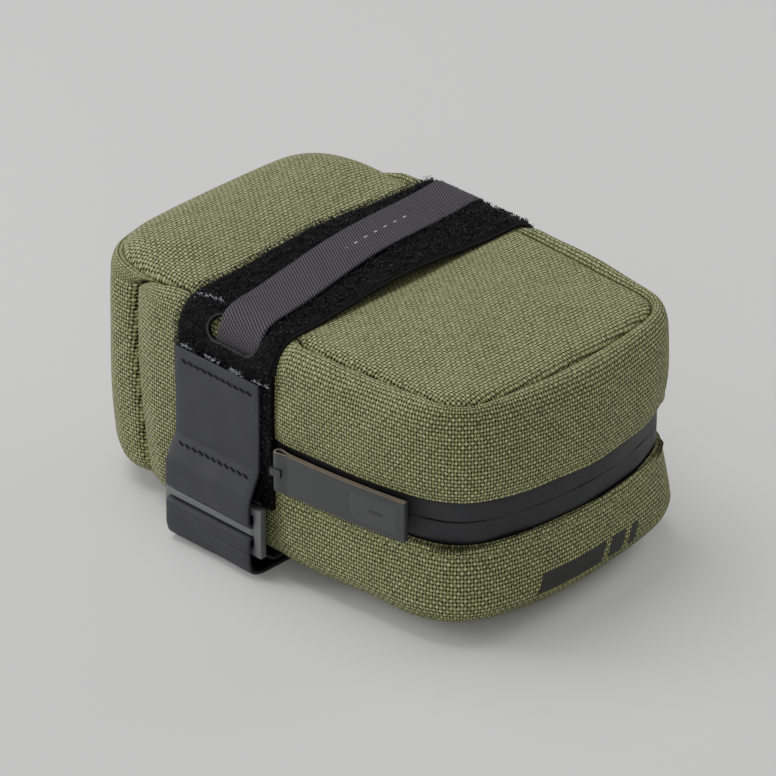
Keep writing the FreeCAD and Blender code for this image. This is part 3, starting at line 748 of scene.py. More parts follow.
@dataclass
class Outline:
    """The bag's plan outline, run from the middle of the front past the near side to the rear and back."""

    datum: Datum
    rays: int = 1080
    columns: int = 720
    softness: float = 3.5
    points: np.ndarray = field(init=False)
    normals: np.ndarray = field(init=False)
    length: float = field(init=False)

    def __post_init__(self) -> None:
        """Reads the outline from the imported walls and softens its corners."""
        d = self.datum
        tree = node_tree("front_panel", "side_panel_near", "side_panel_far", "upper_wall")
        centre = Vector(((d.front + d.rear) / 2, 0, d.zip_mid + 12))
        reach = d.rear - d.front
        hits = []
        for angle in np.linspace(0, 2 * math.pi, self.rays, endpoint=False):
            way = Vector((-math.cos(angle), -math.sin(angle), 0))
            hit = tree.ray_cast((centre + way * reach) * MM, -way)[0]
            if hit is not None:
                hits.append((hit.x / MM, hit.y / MM))
        closed = np.array(hits + hits[:1])
        run = distances(closed)
        even = np.linspace(0, run[-1], self.columns, endpoint=False)
        plan = read_off(even, run, closed)
        waves = np.fft.fftfreq(self.columns, d=run[-1] / self.columns)
        keep = np.exp(-2 * (math.pi * waves * self.softness) ** 2)[:, None]
        self.points = np.fft.ifft(np.fft.fft(plan, axis=0) * keep, axis=0).real
        way = np.roll(self.points, -1, 0) - np.roll(self.points, 1, 0)
        way /= np.linalg.norm(way, axis=1, keepdims=True)
        self.normals = np.stack([way[:, 1], -way[:, 0]], 1)
        self.length = float(np.linalg.norm(np.roll(self.points, -1, 0) - self.points, axis=1).sum())

    def at(self, run: np.ndarray) -> tuple:
        """Points and outward normals at distances along the outline, negative on the far side."""
        steps = np.asarray(run) / self.length * self.columns
        known = np.arange(self.columns)
        place, normal = (
            np.stack([np.interp(steps, known, values[:, k], period=self.columns) for k in (0, 1)], -1)
            for values in (self.points, self.normals))
        return place, normal / np.linalg.norm(normal, axis=-1, keepdims=True)

    def corner(self, run: np.ndarray, reach: float) -> np.ndarray:
        """How near a distance along the outline is to a rear corner, from 0 to 1."""
        half = self.columns // 2
        spot = np.argmin(np.abs(self.normals[half // 2:half, 0] - math.sqrt(0.5))) + half // 2
        near = spot / self.columns * self.length
        run = np.mod(run, self.length)
        return sum(np.exp(-0.5 * ((run - place) / reach) ** 2) for place in (near, self.length - near))

    def run_at(self, x: float) -> float:
        """Distance along the near side at which the outline reaches that x."""
        half = slice(5, self.columns // 2 - 5)
        column = float(np.interp(x, self.points[half, 0], np.arange(self.columns)[half]))
        return column * self.length / self.columns


# ---- the woven shell ----
class Place(Enum):
    """Parts of the bag whose rims differ."""

    FRONT = "front"
    STRAP = "under the strap"
    REAR = "rear"


@dataclass(frozen=True)
class ShellSizes:
    """How the cloth of the shell is shaped, in millimetres."""

    rim_out: float = 4.0
    rim_up: float = 6.5
    rim_turn: float = 135.0
    front_turn: float = 44.0
    front_groove: float = 1.9
    front_from: float = -42.0
    front_to: float = -14.0
    strap_rim: float = 8.5
    foot: float = 8.5
    hem: float = 0.75
    hem_return: float = 5.0
    layer_stop: float = 2.5
    upper_lip: float = 0.4
    upper_bulge: float = 1.2
    lower_lip: float = 0.2
    lower_bulge: float = 1.4
    side_bulge: float = 1.5
    wrinkle: float = 0.3
    wall_waves: float = 26.0
    panel_waves: float = 30.0
    seam_depth: float = 4.0
    seam_radius: float = 4.2
    seam_corner: float = 14.0
    seam_reach: float = 24.0
    seam_lean: float = 4.5
    seam_puff: float = 0.9
    stitch_up: float = 2.1
    stitch_down: float = 2.9
    stitch_groove: float = 0.22
    cloth: float = 0.9
    press_start: float = 15.5
    press_end: float = 22.5
    panel_roll: float = 5.0
    front_roll: float = 5.0
    panel_stand: float = 0.6
    crown: float = 2.0
    crown_ramp: float = 26.0
    crown_reach: float = 34.0
    front_crown_reach: float = 11.0
    front_rise: float = 0.8
    sag: float = 1.2
    corner_reach: float = 13.0
    corner_rim: float = 0.38
    corner_waist: float = 1.0
    corner_foot: float = 1.6

    def rim(self, place: Place) -> tuple:
        """Radius inwards, radius upwards and angle in degrees of the top edge at that part."""
        return {Place.FRONT: (self.rim_out, self.rim_up, self.front_turn),
                Place.STRAP: (self.strap_rim, self.strap_rim, 90.0),
                Place.REAR: (self.rim_out, self.rim_up, self.rim_turn)}[place]

    def shares(self, x: np.ndarray) -> dict:
        """How much each part's shape counts at that x."""
        press = 1 - ease(np.abs(x), self.press_start, self.press_end)
        front = (1 - ease(x, self.front_from, self.front_to)) * (1 - press)
        return {Place.FRONT: front, Place.STRAP: press, Place.REAR: 1 - press - front}

    def rim_end(self, x: np.ndarray, corner: np.ndarray) -> tuple:
        """How far in and how far below the top the rim ends, nearer the edge at the rear corners."""
        inward, down = np.zeros(np.shape(x)), np.zeros(np.shape(x))
        for place, share in self.shares(x).items():
            rim_out, rim_up, turn = self.rim(place)
            groove = self.front_groove if place is Place.FRONT else 0.0
            angle = math.radians(turn)
            inward = inward + share * (rim_out * (1 - math.cos(angle)) + groove * math.cos(angle))
            down = down + share * (rim_up * (1 - math.sin(angle)) + groove * math.sin(angle))
        return inward * (1 - self.corner_rim * corner), down


class Course(Enum):
    """Which rows a wall piece has, from its foot to its head."""

    FULL = "foot, wall and rim"
    UPPER = "hem, wall and rim"
    LOWER = "foot, wall and hem"


@dataclass
class Wall:
    """One piece of wall cloth: rows up its height and columns along the outline."""

    outline: Outline
    sizes: ShellSizes
    course: Course
    runs: np.ndarray
    seams: tuple = ()
    inset: float = 0.0
    seed: int = 3

    def rows(self, place: Place) -> np.ndarray:
        """(out, z) points of the section from bottom to top, at that part of the bag."""
        s, d = self.sizes, self.outline.datum
        rim_out, rim_up, turn = s.rim(place)
        rows = []
        if self.inset and self.course is not Course.FULL:
            return self.inner_rows(rim_out, rim_up, turn)
        if self.course is Course.UPPER:
            rows += [(-2 * s.hem, z) for z in np.linspace(d.hem_up + s.hem_return, d.hem_up + s.hem, 5)[:-1]]
            rows += [(s.hem * (math.cos(a) - 1), d.hem_up + s.hem * (1 + math.sin(a)))
                     for a in np.linspace(math.pi, 2 * math.pi, 9)[:-1]]
            start = d.hem_up + s.hem
        else:
            rows += self.foot_rows(14)
            start = d.base + s.foot
        end = d.hem_down - s.hem if self.course is Course.LOWER else d.top - rim_up
        count = {Course.FULL: 44, Course.UPPER: 46, Course.LOWER: 34}[self.course]
        rows += [(0.0, z) for z in np.linspace(start, end, count)]
        if self.course is Course.LOWER:
            rows += [(s.hem * (math.cos(a) - 1), d.hem_down + s.hem * (math.sin(a) - 1))
                     for a in np.linspace(0, math.pi, 9)[1:]]
            rows += [(-2 * s.hem, z)
                     for z in np.linspace(d.hem_down - s.hem, d.hem_down - s.hem_return, 5)[1:]]
        else:
            rows += self.rim_rows(rim_out, rim_up, turn, 18)
        return np.array(rows)

    def foot_rows(self, count: int) -> list:
        """Rows round the rounded foot, without its last."""
        foot, base = self.sizes.foot, self.outline.datum.base
        return [(foot * (math.cos(a) - 1), base + foot * (1 + math.sin(a)))
                for a in np.linspace(-math.pi / 2, 0, count)[:-1]]

    def rim_rows(self, rim_out: float, rim_up: float, turn: float, count: int) -> list:
        """Rows round the top edge, without its first."""
        return [(rim_out * (math.cos(a) - 1), self.outline.datum.top + rim_up * (math.sin(a) - 1))
                for a in np.linspace(0, math.radians(turn), count)[1:]]

    def inner_rows(self, rim_out: float, rim_up: float, turn: float) -> np.ndarray:
        """Section of a layer inside the cloth, which stops at the zip without a hem."""
        s, d = self.sizes, self.outline.datum
        if self.course is Course.LOWER:
            up = np.linspace(d.base + s.foot, d.hem_down - s.layer_stop, 14)
            return np.array(self.foot_rows(12) + [(0.0, z) for z in up])
        rows = [(0.0, z) for z in np.linspace(d.hem_up + s.layer_stop, d.top - rim_up, 16)]
        return np.array(rows + self.rim_rows(rim_out, rim_up, turn, 14))

    def bulge(self, z: np.ndarray) -> np.ndarray:
        """How far the cloth stands out at that height."""
        s, d = self.sizes, self.outline.datum
        if self.course is Course.UPPER:
            t = np.clip((z - d.hem_up) / (d.top - d.hem_up), 0, 1)
            swell = s.upper_lip * (1 - t) + s.upper_bulge * np.sin(math.pi * t ** 0.62)
            return swell - s.stitch_groove * np.exp(-((z - d.hem_up - s.stitch_up) / 0.4) ** 2)
        if self.course is Course.LOWER:
            t = np.clip((z - d.base) / (d.hem_down - d.base), 0, 1)
            swell = s.lower_lip * t + s.lower_bulge * np.sin(math.pi * t ** 0.8)
            return swell - s.stitch_groove * np.exp(-((d.hem_down - s.stitch_down - z) / 0.4) ** 2)
        t = np.clip((z - d.base) / (d.top - d.base), 0, 1)
        return s.side_bulge * np.sin(math.pi * t ** 0.9)

    def tuck(self, z: np.ndarray, corner: np.ndarray) -> np.ndarray:
        """How far the cloth of the rear corners moves out at the foot and in at the waist."""
        s, d = self.sizes, self.outline.datum
        waist = np.interp(z, [d.base, d.hem_down, d.hem_up, d.top], [0.0, 1.0, 1.0, 0.0])
        foot = np.interp(z, [d.base, d.base + s.foot, d.hem_down], [0.0, 1.0, 0.0])
        return (s.corner_foot * foot - s.corner_waist * waist) * corner

    def leans(self, rows: np.ndarray) -> np.ndarray:
        """Outward directions of a section's rows."""
        way = np.gradient(rows, axis=0)
        way /= np.linalg.norm(way, axis=1, keepdims=True)
        return np.stack([way[:, 1], -way[:, 0]], 1)

    def grid(self) -> tuple:
        """Points and cloth places of the piece, one row of values for each column."""
        s, d = self.sizes, self.outline.datum
        sections = {place: self.rows(place) for place in Place}
        free = sections[Place.REAR]
        rise = distances(free)
        runs = np.repeat(self.runs[:, None], len(free), axis=1)
        near_top = np.clip(1 - (rise[-1] - rise) / s.seam_corner, 0, 0.96)
        warp = s.seam_corner * (1 - np.sqrt(1 - near_top ** 2))
        for seam in self.seams:
            shift = warp - s.seam_lean * ease(free[:, 1], d.base, d.top)
            fade = 1 - ease(np.abs(self.runs - seam), 0, s.seam_reach)
            runs = runs + np.sign(seam) * shift[None, :] * fade[:, None]
        plan, normal = self.outline.at(runs)
        shares = s.shares(plan[..., 0])
        press = shares[Place.STRAP]
        section = sum(shares[place][..., None] * rows[None] for place, rows in sections.items())
        lean = sum(shares[place][..., None] * self.leans(rows)[None] for place, rows in sections.items())
        lean /= np.linalg.norm(lean, axis=-1, keepdims=True)
        push = np.where((lean[..., :1] < 0) & (free[None, :, 1:] < d.top - s.rim_up), [1.0, 0.0], lean)
        corner = self.outline.corner(runs, s.corner_reach)
        rim_zone = ease(free[None, :, 1], d.hem_up + s.hem_return, d.top - s.rim_up)
        section[..., 0] *= 1 - s.corner_rim * corner * rim_zone
        swell = (self.bulge(free[None, :, 1]) + self.tuck(free[None, :, 1], corner)) * (1 - press)
        place = np.stack([plan[..., 0], plan[..., 1], section[..., 1]], -1)
        swell = swell + s.wrinkle * ripple(place, s.wall_waves, self.seed) * (1 - 0.7 * press)
        for seam in self.seams:
            gap = np.abs(self.runs - seam)[:, None]
            puff = s.seam_puff * np.exp(-((gap - 2.2 * s.seam_radius) / s.seam_radius) ** 2)
            swell = swell + (puff - s.seam_depth * roll(gap, s.seam_radius)) * np.ones_like(swell)
        if self.course is not Course.LOWER:
            swell = swell * ease(rise[-1] - rise, 0.0, 5.0)[None]
            swell = swell - s.front_groove * shares[Place.FRONT] * (1 - ease(rise[-1] - rise, 0.0, 3.2))[None]
        moved = section + swell[..., None] * push - self.inset * lean
        points = np.concatenate([plan + normal * moved[..., :1], moved[..., 1:]], -1)
        uvs = np.stack([runs, np.repeat(rise[None], len(self.runs), axis=0)], -1)
        return points, uvs

    def build(self, name: str, thickness: float | None = None) -> bpy.types.Object:
        """Builds the piece with its cloth's thickness."""
        points, uvs = self.grid()
        piece = grid_mesh(name, points, uvs)
        face_out(piece, self.outline.datum.middle)
        thicken(piece, thickness or self.sizes.cloth)
        return piece


def face_out(piece: bpy.types.Object, middle: np.ndarray) -> None:
    """Turns an open cloth's faces so that they point away from a place in millimetres."""
    faces = piece.data.polygons
    total = sum(face.area * (face.normal @ (face.center / MM - Vector(middle))) for face in faces)
    if total < 0:
        piece.data.flip_normals()


@dataclass
class Lid:
    """A closed panel inside the outline: the top panel or the bottom panel."""

    outline: Outline
    sizes: ShellSizes
    top: bool
    inset: float = 0.0
    seed: int = 8
    rings: int = 34
    columns: int = 480
    spine_front: float = 42.0
    spine_rear: float = 46.0

    def heights(self, place: np.ndarray, away: np.ndarray, down: np.ndarray) -> np.ndarray:
        """Height of the panel at a place so far in from its edge, which lies so far below the top."""
        s, d = self.sizes, self.outline.datum
        if self.top:
            shares = s.shares(place[..., 0])
            press = shares[Place.STRAP]
            wide = s.panel_roll + (s.front_roll - s.panel_roll) * shares[Place.FRONT]
            t = np.clip(1 - away / wide, 0, 1)
            ends = ease(np.abs(place[..., 0]), s.press_start, s.press_start + s.crown_ramp)
            free = d.top - down + (down + s.panel_stand) * np.sqrt(1 - t * t)
            reach = s.crown_reach + (s.front_crown_reach - s.crown_reach) * shares[Place.FRONT]
            free = free + (s.crown + s.front_rise * shares[Place.FRONT]) * ease(away / reach, 0, 1) * ends
            free = free + s.wrinkle * ripple(place, s.panel_waves, self.seed) * ease(away, 0, 6)
            return free * (1 - press) + (d.top - 0.1) * press - self.inset
        ends = ease(np.abs(place[..., 0]), s.press_start + 2, s.press_start + 24)
        return d.base - s.sag * ease(away, 0, 22) * ends + self.inset

    def build(self, name: str, thickness: float | None = None) -> bpy.types.Object:
        """Builds the panel with its cloth's thickness."""
        s, d = self.sizes, self.outline.datum
        runs = np.linspace(0, self.outline.length, self.columns, endpoint=False)
        plan, normal = self.outline.at(runs)
        inward, down = np.full(len(plan), s.foot), np.zeros(len(plan))
        if self.top:
            inward, down = s.rim_end(plan[:, 0], self.outline.corner(runs, s.corner_reach))
        edge = plan - normal * (inward + self.inset)[:, None]
        spine_x = np.clip(edge[:, 0], d.front + self.spine_front, d.rear - self.spine_rear)
        spine = np.stack([spine_x, np.zeros(len(edge))], 1)
        reach = np.linalg.norm(edge - spine, axis=1)
        share = np.linspace(0, 1, self.rings) ** 1.7
        flat = edge[None] + (spine - edge)[None] * share[:, None, None]
        away = reach[None] * share[:, None]
        place = np.concatenate([flat, np.zeros(flat.shape[:2] + (1,))], -1)
        place[..., 2] = self.heights(place, away, down[None])
        faces = ring_faces(self.rings, self.columns)
        piece = build_mesh(name, place.reshape(-1, 3), faces, flat[..., ::-1].reshape(-1, 2))
        self.close_middle(piece)
        up = 1.0 if self.top else -1.0
        if sum(face.normal.z for face in piece.data.polygons) * up < 0:
            piece.data.flip_normals()
        thicken(piece, thickness or s.cloth)
        return piece

    def close_middle(self, piece: bpy.types.Object) -> None:
        """Drops the faces that fold flat onto the middle line."""
        bm = bmesh.new()
        bm.from_mesh(piece.data)
        bmesh.ops.dissolve_degenerate(bm, edges=bm.edges, dist=1e-6)
        bm.to_mesh(piece.data)
        bm.free()
        piece.data.shade_smooth()


# ---- stitching ----
def on_surface(piece: bpy.types.Object, places: np.ndarray, ways: np.ndarray) -> np.ndarray:
    """Moves places outside a piece straight onto its surface.

    Args:
        piece: The piece, with its final mesh.
        places: (n, 3) places in millimetres.
        ways: (n, 3) outward directions.

    Returns:
        (n, 3) places on the surface, unmoved where nothing is met.
    """
    tree = BVHTree.FromPolygons([v.co for v in piece.data.vertices],
                                [tuple(p.vertices) for p in piece.data.polygons])
    found = places.copy()
    for k, (place, way) in enumerate(zip(places, ways)):
        start = Vector(place + way * 12.0) * MM
        hit = tree.ray_cast(start, -Vector(way), 40.0 * MM)[0]
        if hit is not None:
            found[k] = np.array(hit) / MM
    return found


@dataclass
class StitchRow:
    """A row of lock stitches on a cloth's face."""

    line: np.ndarray
    ways: np.ndarray
    length: float = 2.7
    gap: float = 0.7
    radius: float = 0.17
    slant: float = 0.0
    lift: float = 0.06

    def build(self, name: str, piece: bpy.types.Object) -> bpy.types.Object:
        """Builds the stitches on the face of a piece, along a line of places outside it."""
        face = on_surface(piece, self.line, self.ways)
        run = distances(face)
        paths = []
        for start in np.arange(0.4, run[-1] - self.length, self.length + self.gap):
            at = start + np.linspace(0, 1, 6) * self.length
            place, way = read_off(at, run, face), read_off(at, run, self.ways)
            rise = self.lift + self.radius * 1.6 * (np.sin(np.linspace(0.08, 0.92, 6) * math.pi) - 0.75)
            along = place[-1] - place[0]
            aside = np.cross(along, way[3])
            aside /= np.linalg.norm(aside) + 1e-9
            lean = np.linspace(-1, 1, 6) * self.slant
            paths.append(place + way * rise[:, None] + aside * lean[:, None])
        return tube_mesh(name, paths, self.radius, 5)


# ---- bag shell, lining and padding ----
def soft_path(points: list, step: float = 0.8, blur: float = 1.6) -> np.ndarray:
    """Evenly spaced points along a line whose corners are eased.

    Args:
        points: Places along the line, of two or three numbers each.
        step: Distance between two points.
        blur: How far the corners are eased.

    Returns:
        (n, 2 or 3) points.
    """
    rough = np.array(points, float)
    run = distances(rough)
    even = np.arange(0, run[-1], 0.2)
    line = read_off(even, run, rough)
    reach = int(3 * blur / 0.2)
    if reach:
        weight = np.exp(-0.5 * (np.arange(-reach, reach + 1) * 0.2 / blur) ** 2)
        ahead = 2 * line[0] - line[reach:0:-1]
        behind = 2 * line[-1] - line[-2:-reach - 2:-1]
        padded = np.concatenate([ahead, line, behind])
        weight /= weight.sum()
        line = np.stack([np.convolve(column, weight, "valid") for column in padded.T], 1)
    run = distances(line)
    even = np.linspace(0, run[-1], max(2, int(run[-1] / step) + 1))
    return read_off(even, run, line)


@dataclass
class BagShell:
    """The woven bag: top, bottom, front, sides and the two walls above and below the zip."""

    outline: Outline
    sizes: ShellSizes
    column: float = 1.15
    hidden_x: float = 0.0
    foam_fill: float = 0.7
    bend_start: float = 3.0
    bend_end: float = 26.0
    lining_in: float = 3.6
    lining: float = 0.5
    foam_in: float = 1.0
    foam: float = 2.4
    lower: bpy.types.Object | None = None
    upper: bpy.types.Object | None = None

    def span(self, start: float, end: float) -> np.ndarray:
        """Column distances from start to end."""
        return np.linspace(start, end, int(abs(end - start) / self.column) + 2)

    def runs(self) -> dict:
        """Column distances of each wall piece."""
        seam, hidden = self.outline.run_at(self.outline.datum.seam_x), self.outline.run_at(self.hidden_x)
        whole = self.outline.length
        return {"front": self.span(-seam, seam), "near": self.span(seam, hidden),
                "far": self.span(-hidden, -seam), "rear": self.span(hidden, whole - hidden),
                "seam": seam}

    def wall(self, course: Course, part: str, seams: tuple = (), inset: float = 0.0, seed: int = 3) -> Wall:
        """A wall piece over one part of the outline."""
        return Wall(self.outline, self.sizes, course, self.runs()[part], seams, inset, seed)

    def build(self) -> None:
        """Builds and dresses every piece of cloth, lining and foam."""
        seam = self.runs()["seam"]
        front = self.wall(Course.FULL, "front", (-seam, seam)).build("front_wall")
        dress(front, Finish.OLIVE, "fabric_green", "bag", "front_panel")
        near = self.wall(Course.FULL, "near", (seam,)).build("near_side")
        dress(near, Finish.OLIVE, "fabric_green", "bag", "side_panel_near")
        far = self.wall(Course.FULL, "far", (-seam,)).build("far_side")
        dress(far, Finish.OLIVE, "fabric_green", "bag", "side_panel_far")
        self.upper = self.wall(Course.UPPER, "rear", seed=11).build("rear_wall_above_zip")
        dress(self.upper, Finish.OLIVE, "fabric_green", "bag", "upper_wall")
        self.lower = self.wall(Course.LOWER, "rear", seed=12).build("rear_wall_below_zip")
        dress(self.lower, Finish.OLIVE, "fabric_green", None, "lower_wall", "hinge_gusset")
        self.bend(self.lower)
        top = Lid(self.outline, self.sizes, True).build("top_cloth")
        dress(top, Finish.OLIVE, "fabric_green", "bag", "top_panel")
        bottom = Lid(self.outline, self.sizes, False).build("bottom_cloth")
        dress(bottom, Finish.OLIVE, "fabric_green", None, "bottom_panel_front", "bottom_panel_rear")
        self.bend(bottom)
        self.build_inside(seam)

    def build_inside(self, seam: float) -> None:
        """Builds the foam and the lining as layers inside the cloth."""
        layers = ((self.foam_in, self.foam, Finish.FOAM, "foam", "foam"),
                  (self.lining_in, self.lining, Finish.LINING, "lining", "lining"))
        for inset, thick, finish, slot, word in layers:
            parts = (("front", Course.FULL, (-seam, seam), "front_foam", "main_lining"),
                     ("near", Course.FULL, (seam,), None, None), ("far", Course.FULL, (-seam,), None, None),
                     ("rear", Course.UPPER, (), "upper_foam", None))
            for part, course, seams, foam_node, lining_node in parts:
                piece = self.wall(course, part, seams, inset).build(f"{word}_{part}", thick)
                node = foam_node if word == "foam" else lining_node
                dress(piece, finish, slot, "bag", *([node] if node else []))
            lower = self.wall(Course.LOWER, "rear", (), inset).build(f"{word}_below_zip", thick)
            dress(lower, finish, slot, None, "lower_foam" if word == "foam" else "mouth_lining")
            self.bend(lower)
        roof = Lid(self.outline, self.sizes, True, self.lining_in + 0.6, rings=16, columns=200)
        dress(roof.build("lining_top", self.lining), Finish.LINING, "lining", "bag")
        floor = Lid(self.outline, self.sizes, False, self.lining_in + 1.0, columns=320)
        floor_piece = floor.build("lining_bottom", self.lining)
        dress(floor_piece, Finish.LINING, "lining", None)
        self.bend(floor_piece)

    def bend(self, piece: bpy.types.Object) -> None:
        """Bakes the piece's transform into its mesh."""
        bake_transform(piece)


@dataclass
class HiddenSeams:
    """Binding tape over the raw seams inside the bag."""

    outline: Outline
    shell: BagShell
    thickness: float = 1.0
    inward: float = 9.2
    node_parts: tuple = (("top_seam_binding", "bag"), ("bottom_seam_binding_front", "bag"),
                         ("bottom_seam_binding_rear", "jaw"))

    def build(self) -> None:
        """Builds one binding for each packed one."""
        for node, body in self.node_parts:
            lo, hi = low(node), high(node)
            if body == "jaw":
                start = self.outline.run_at(lo.x)
                runs = np.linspace(start, self.outline.length - start, 150)
            elif "front" in node:
                runs = np.linspace(-self.outline.run_at(hi.x), self.outline.run_at(hi.x), 150)
            else:
                runs = np.linspace(0, self.outline.length, 300)
            middle = self.inward + self.thickness * np.sin(np.linspace(-0.5, 1.5, 8) * math.pi) * 0.5
            plan, normal = self.outline.at(np.repeat(runs[:, None], 8, axis=1))
            z = np.interp(np.linspace(0, 1, 8), [0, 0.5, 1], [lo.z, (lo.z + hi.z) / 2, hi.z])
            points = np.stack([plan[..., 0] - normal[..., 0] * middle, plan[..., 1] - normal[..., 1] * middle,
                               np.broadcast_to(z, plan.shape[:2])], -1)
            uvs = np.stack([np.repeat(runs[:, None], 8, axis=1), np.broadcast_to(z, plan.shape[:2])], -1)
            name = node.replace("seam_", "").replace("_front", "_fixed").replace("_rear", "_mouth")
            piece = grid_mesh(name, points, uvs)
            thicken(piece, self.thickness)
            dress(piece, Finish.BINDING, "binding", "bag" if body == "bag" else None, node)
            if body == "jaw":
                self.shell.bend(piece)


# ---- zip ----
@dataclass
class ZipLine:
    """Coated zip: two tapes that meet in the middle, coils behind them, and rows of topstitching."""

    outline: Outline
    shell: BagShell
    inset: float = 1.0
    hem_inset: float = 1.8
    thickness: float = 0.6
    split: float = 0.015
    start_x: float = 14.0
    behind_hem: float = 3.0
    coil_pitch: float = 1.25
    coil_wire: float = 0.28

    def tape(self, name: str, level: float, node: str, body: str | None) -> None:
        """Builds one half of the tape, from the middle split to behind the hem at that height."""
        d, s = self.outline.datum, self.shell.sizes
        up = 1.0 if level > d.zip_mid else -1.0
        start = self.outline.run_at(self.start_x)
        runs = np.arange(start, self.outline.length - start, 1.2)
        edge = abs(level - d.zip_mid)
        rise = np.array([0.0, 0.0, 0.35, 0.8, 2.0, 4.0, edge - 1.2, edge - 0.6, edge, edge + 0.8,
                         edge + self.behind_hem])
        depth = np.interp(rise, [0, 0.35, edge - 1.0, edge + 0.2],
                          [0.1, 0.0, 0.0, self.hem_inset - self.inset])
        depth[0] = 0.35
        z = d.zip_mid + up * (self.split + rise)
        plan, normal = self.outline.at(np.repeat(runs[:, None], len(z), axis=1))
        place = np.stack([plan[..., 0], plan[..., 1], np.broadcast_to(z, plan.shape[:2])], -1)
        tuck = s.corner_waist * self.outline.corner(runs, s.corner_reach)[:, None]
        out = -(self.inset + depth[None] + tuck) + 0.16 * ripple(place, 17.0, 21 if up > 0 else 22)
        points = np.concatenate([plan + normal * out[..., None], place[..., 2:]], -1)
        uvs = np.stack([np.repeat(runs[:, None], len(z), axis=1), place[..., 2]], -1)
        piece = grid_mesh(name, points, uvs)
        face_out(piece, d.middle)
        thicken(piece, self.thickness)
        dress(piece, Finish.TAPE, "zip_tape", body, node)
        if body is None:
            self.shell.bend(piece)

    def coil(self, name: str, node: str, body: str) -> None:
        """Builds one half of the coil as a wound wire."""
        lo, hi = low(node), high(node)
        start = self.outline.run_at(self.outline.datum.hinge + 1)
        turns = int((self.outline.length - 2 * start) / self.coil_pitch)
        angle = np.linspace(0, 2 * math.pi * turns, turns * 8)
        run = np.linspace(start, self.outline.length - start, len(angle))
        plan, normal = self.outline.at(run)
        middle = (lo.z + hi.z) / 2
        half = (hi.z - lo.z) / 2 - self.coil_wire
        tuck = self.shell.sizes.corner_waist * self.outline.corner(run, self.shell.sizes.corner_reach)
        out = -(self.inset + 1.6) - tuck + np.sin(angle) * 0.42
        path = np.concatenate([plan + normal * out[:, None], (middle + half * np.cos(angle))[:, None]], 1)
        piece = tube_mesh(name, [path], self.coil_wire, 4)
        dress(piece, Finish.COIL, "zip_coil", body, node)

    def topstitch(self, name: str, level: float, cloth: bpy.types.Object, body: str | None) -> None:
        """Sews a row of stitches along the zip's hem."""
        start = self.outline.run_at(self.outline.datum.strap_edge - 3)
        runs = np.arange(start, self.outline.length - start, 0.6)
        plan, normal = self.outline.at(runs)
        line = np.concatenate([plan, np.full((len(runs), 1), level)], 1)
        ways = np.concatenate([normal, np.zeros((len(runs), 1))], 1)
        piece = StitchRow(line, ways).build(name, cloth)
        dress(piece, Finish.TOP_THREAD, "thread", body)
        if body is None:
            self.shell.bend(piece)

    def build(self) -> None:
        """Builds tapes, coils and stitches."""
        d, s = self.outline.datum, self.shell.sizes
        self.tape("zip_tape_above", d.hem_up, "upper_zip_tape", "bag")
        self.tape("zip_tape_below", d.hem_down, "lower_zip_tape", None)
        self.coil("coil_above", "upper_coil", "bag")
        self.coil("coil_below", "lower_coil", "jaw")
        self.topstitch("hem_stitches_above", d.hem_up + s.stitch_up, self.shell.upper, "bag")
        self.topstitch("hem_stitches_below", d.hem_down - s.stitch_down, self.shell.lower, None)


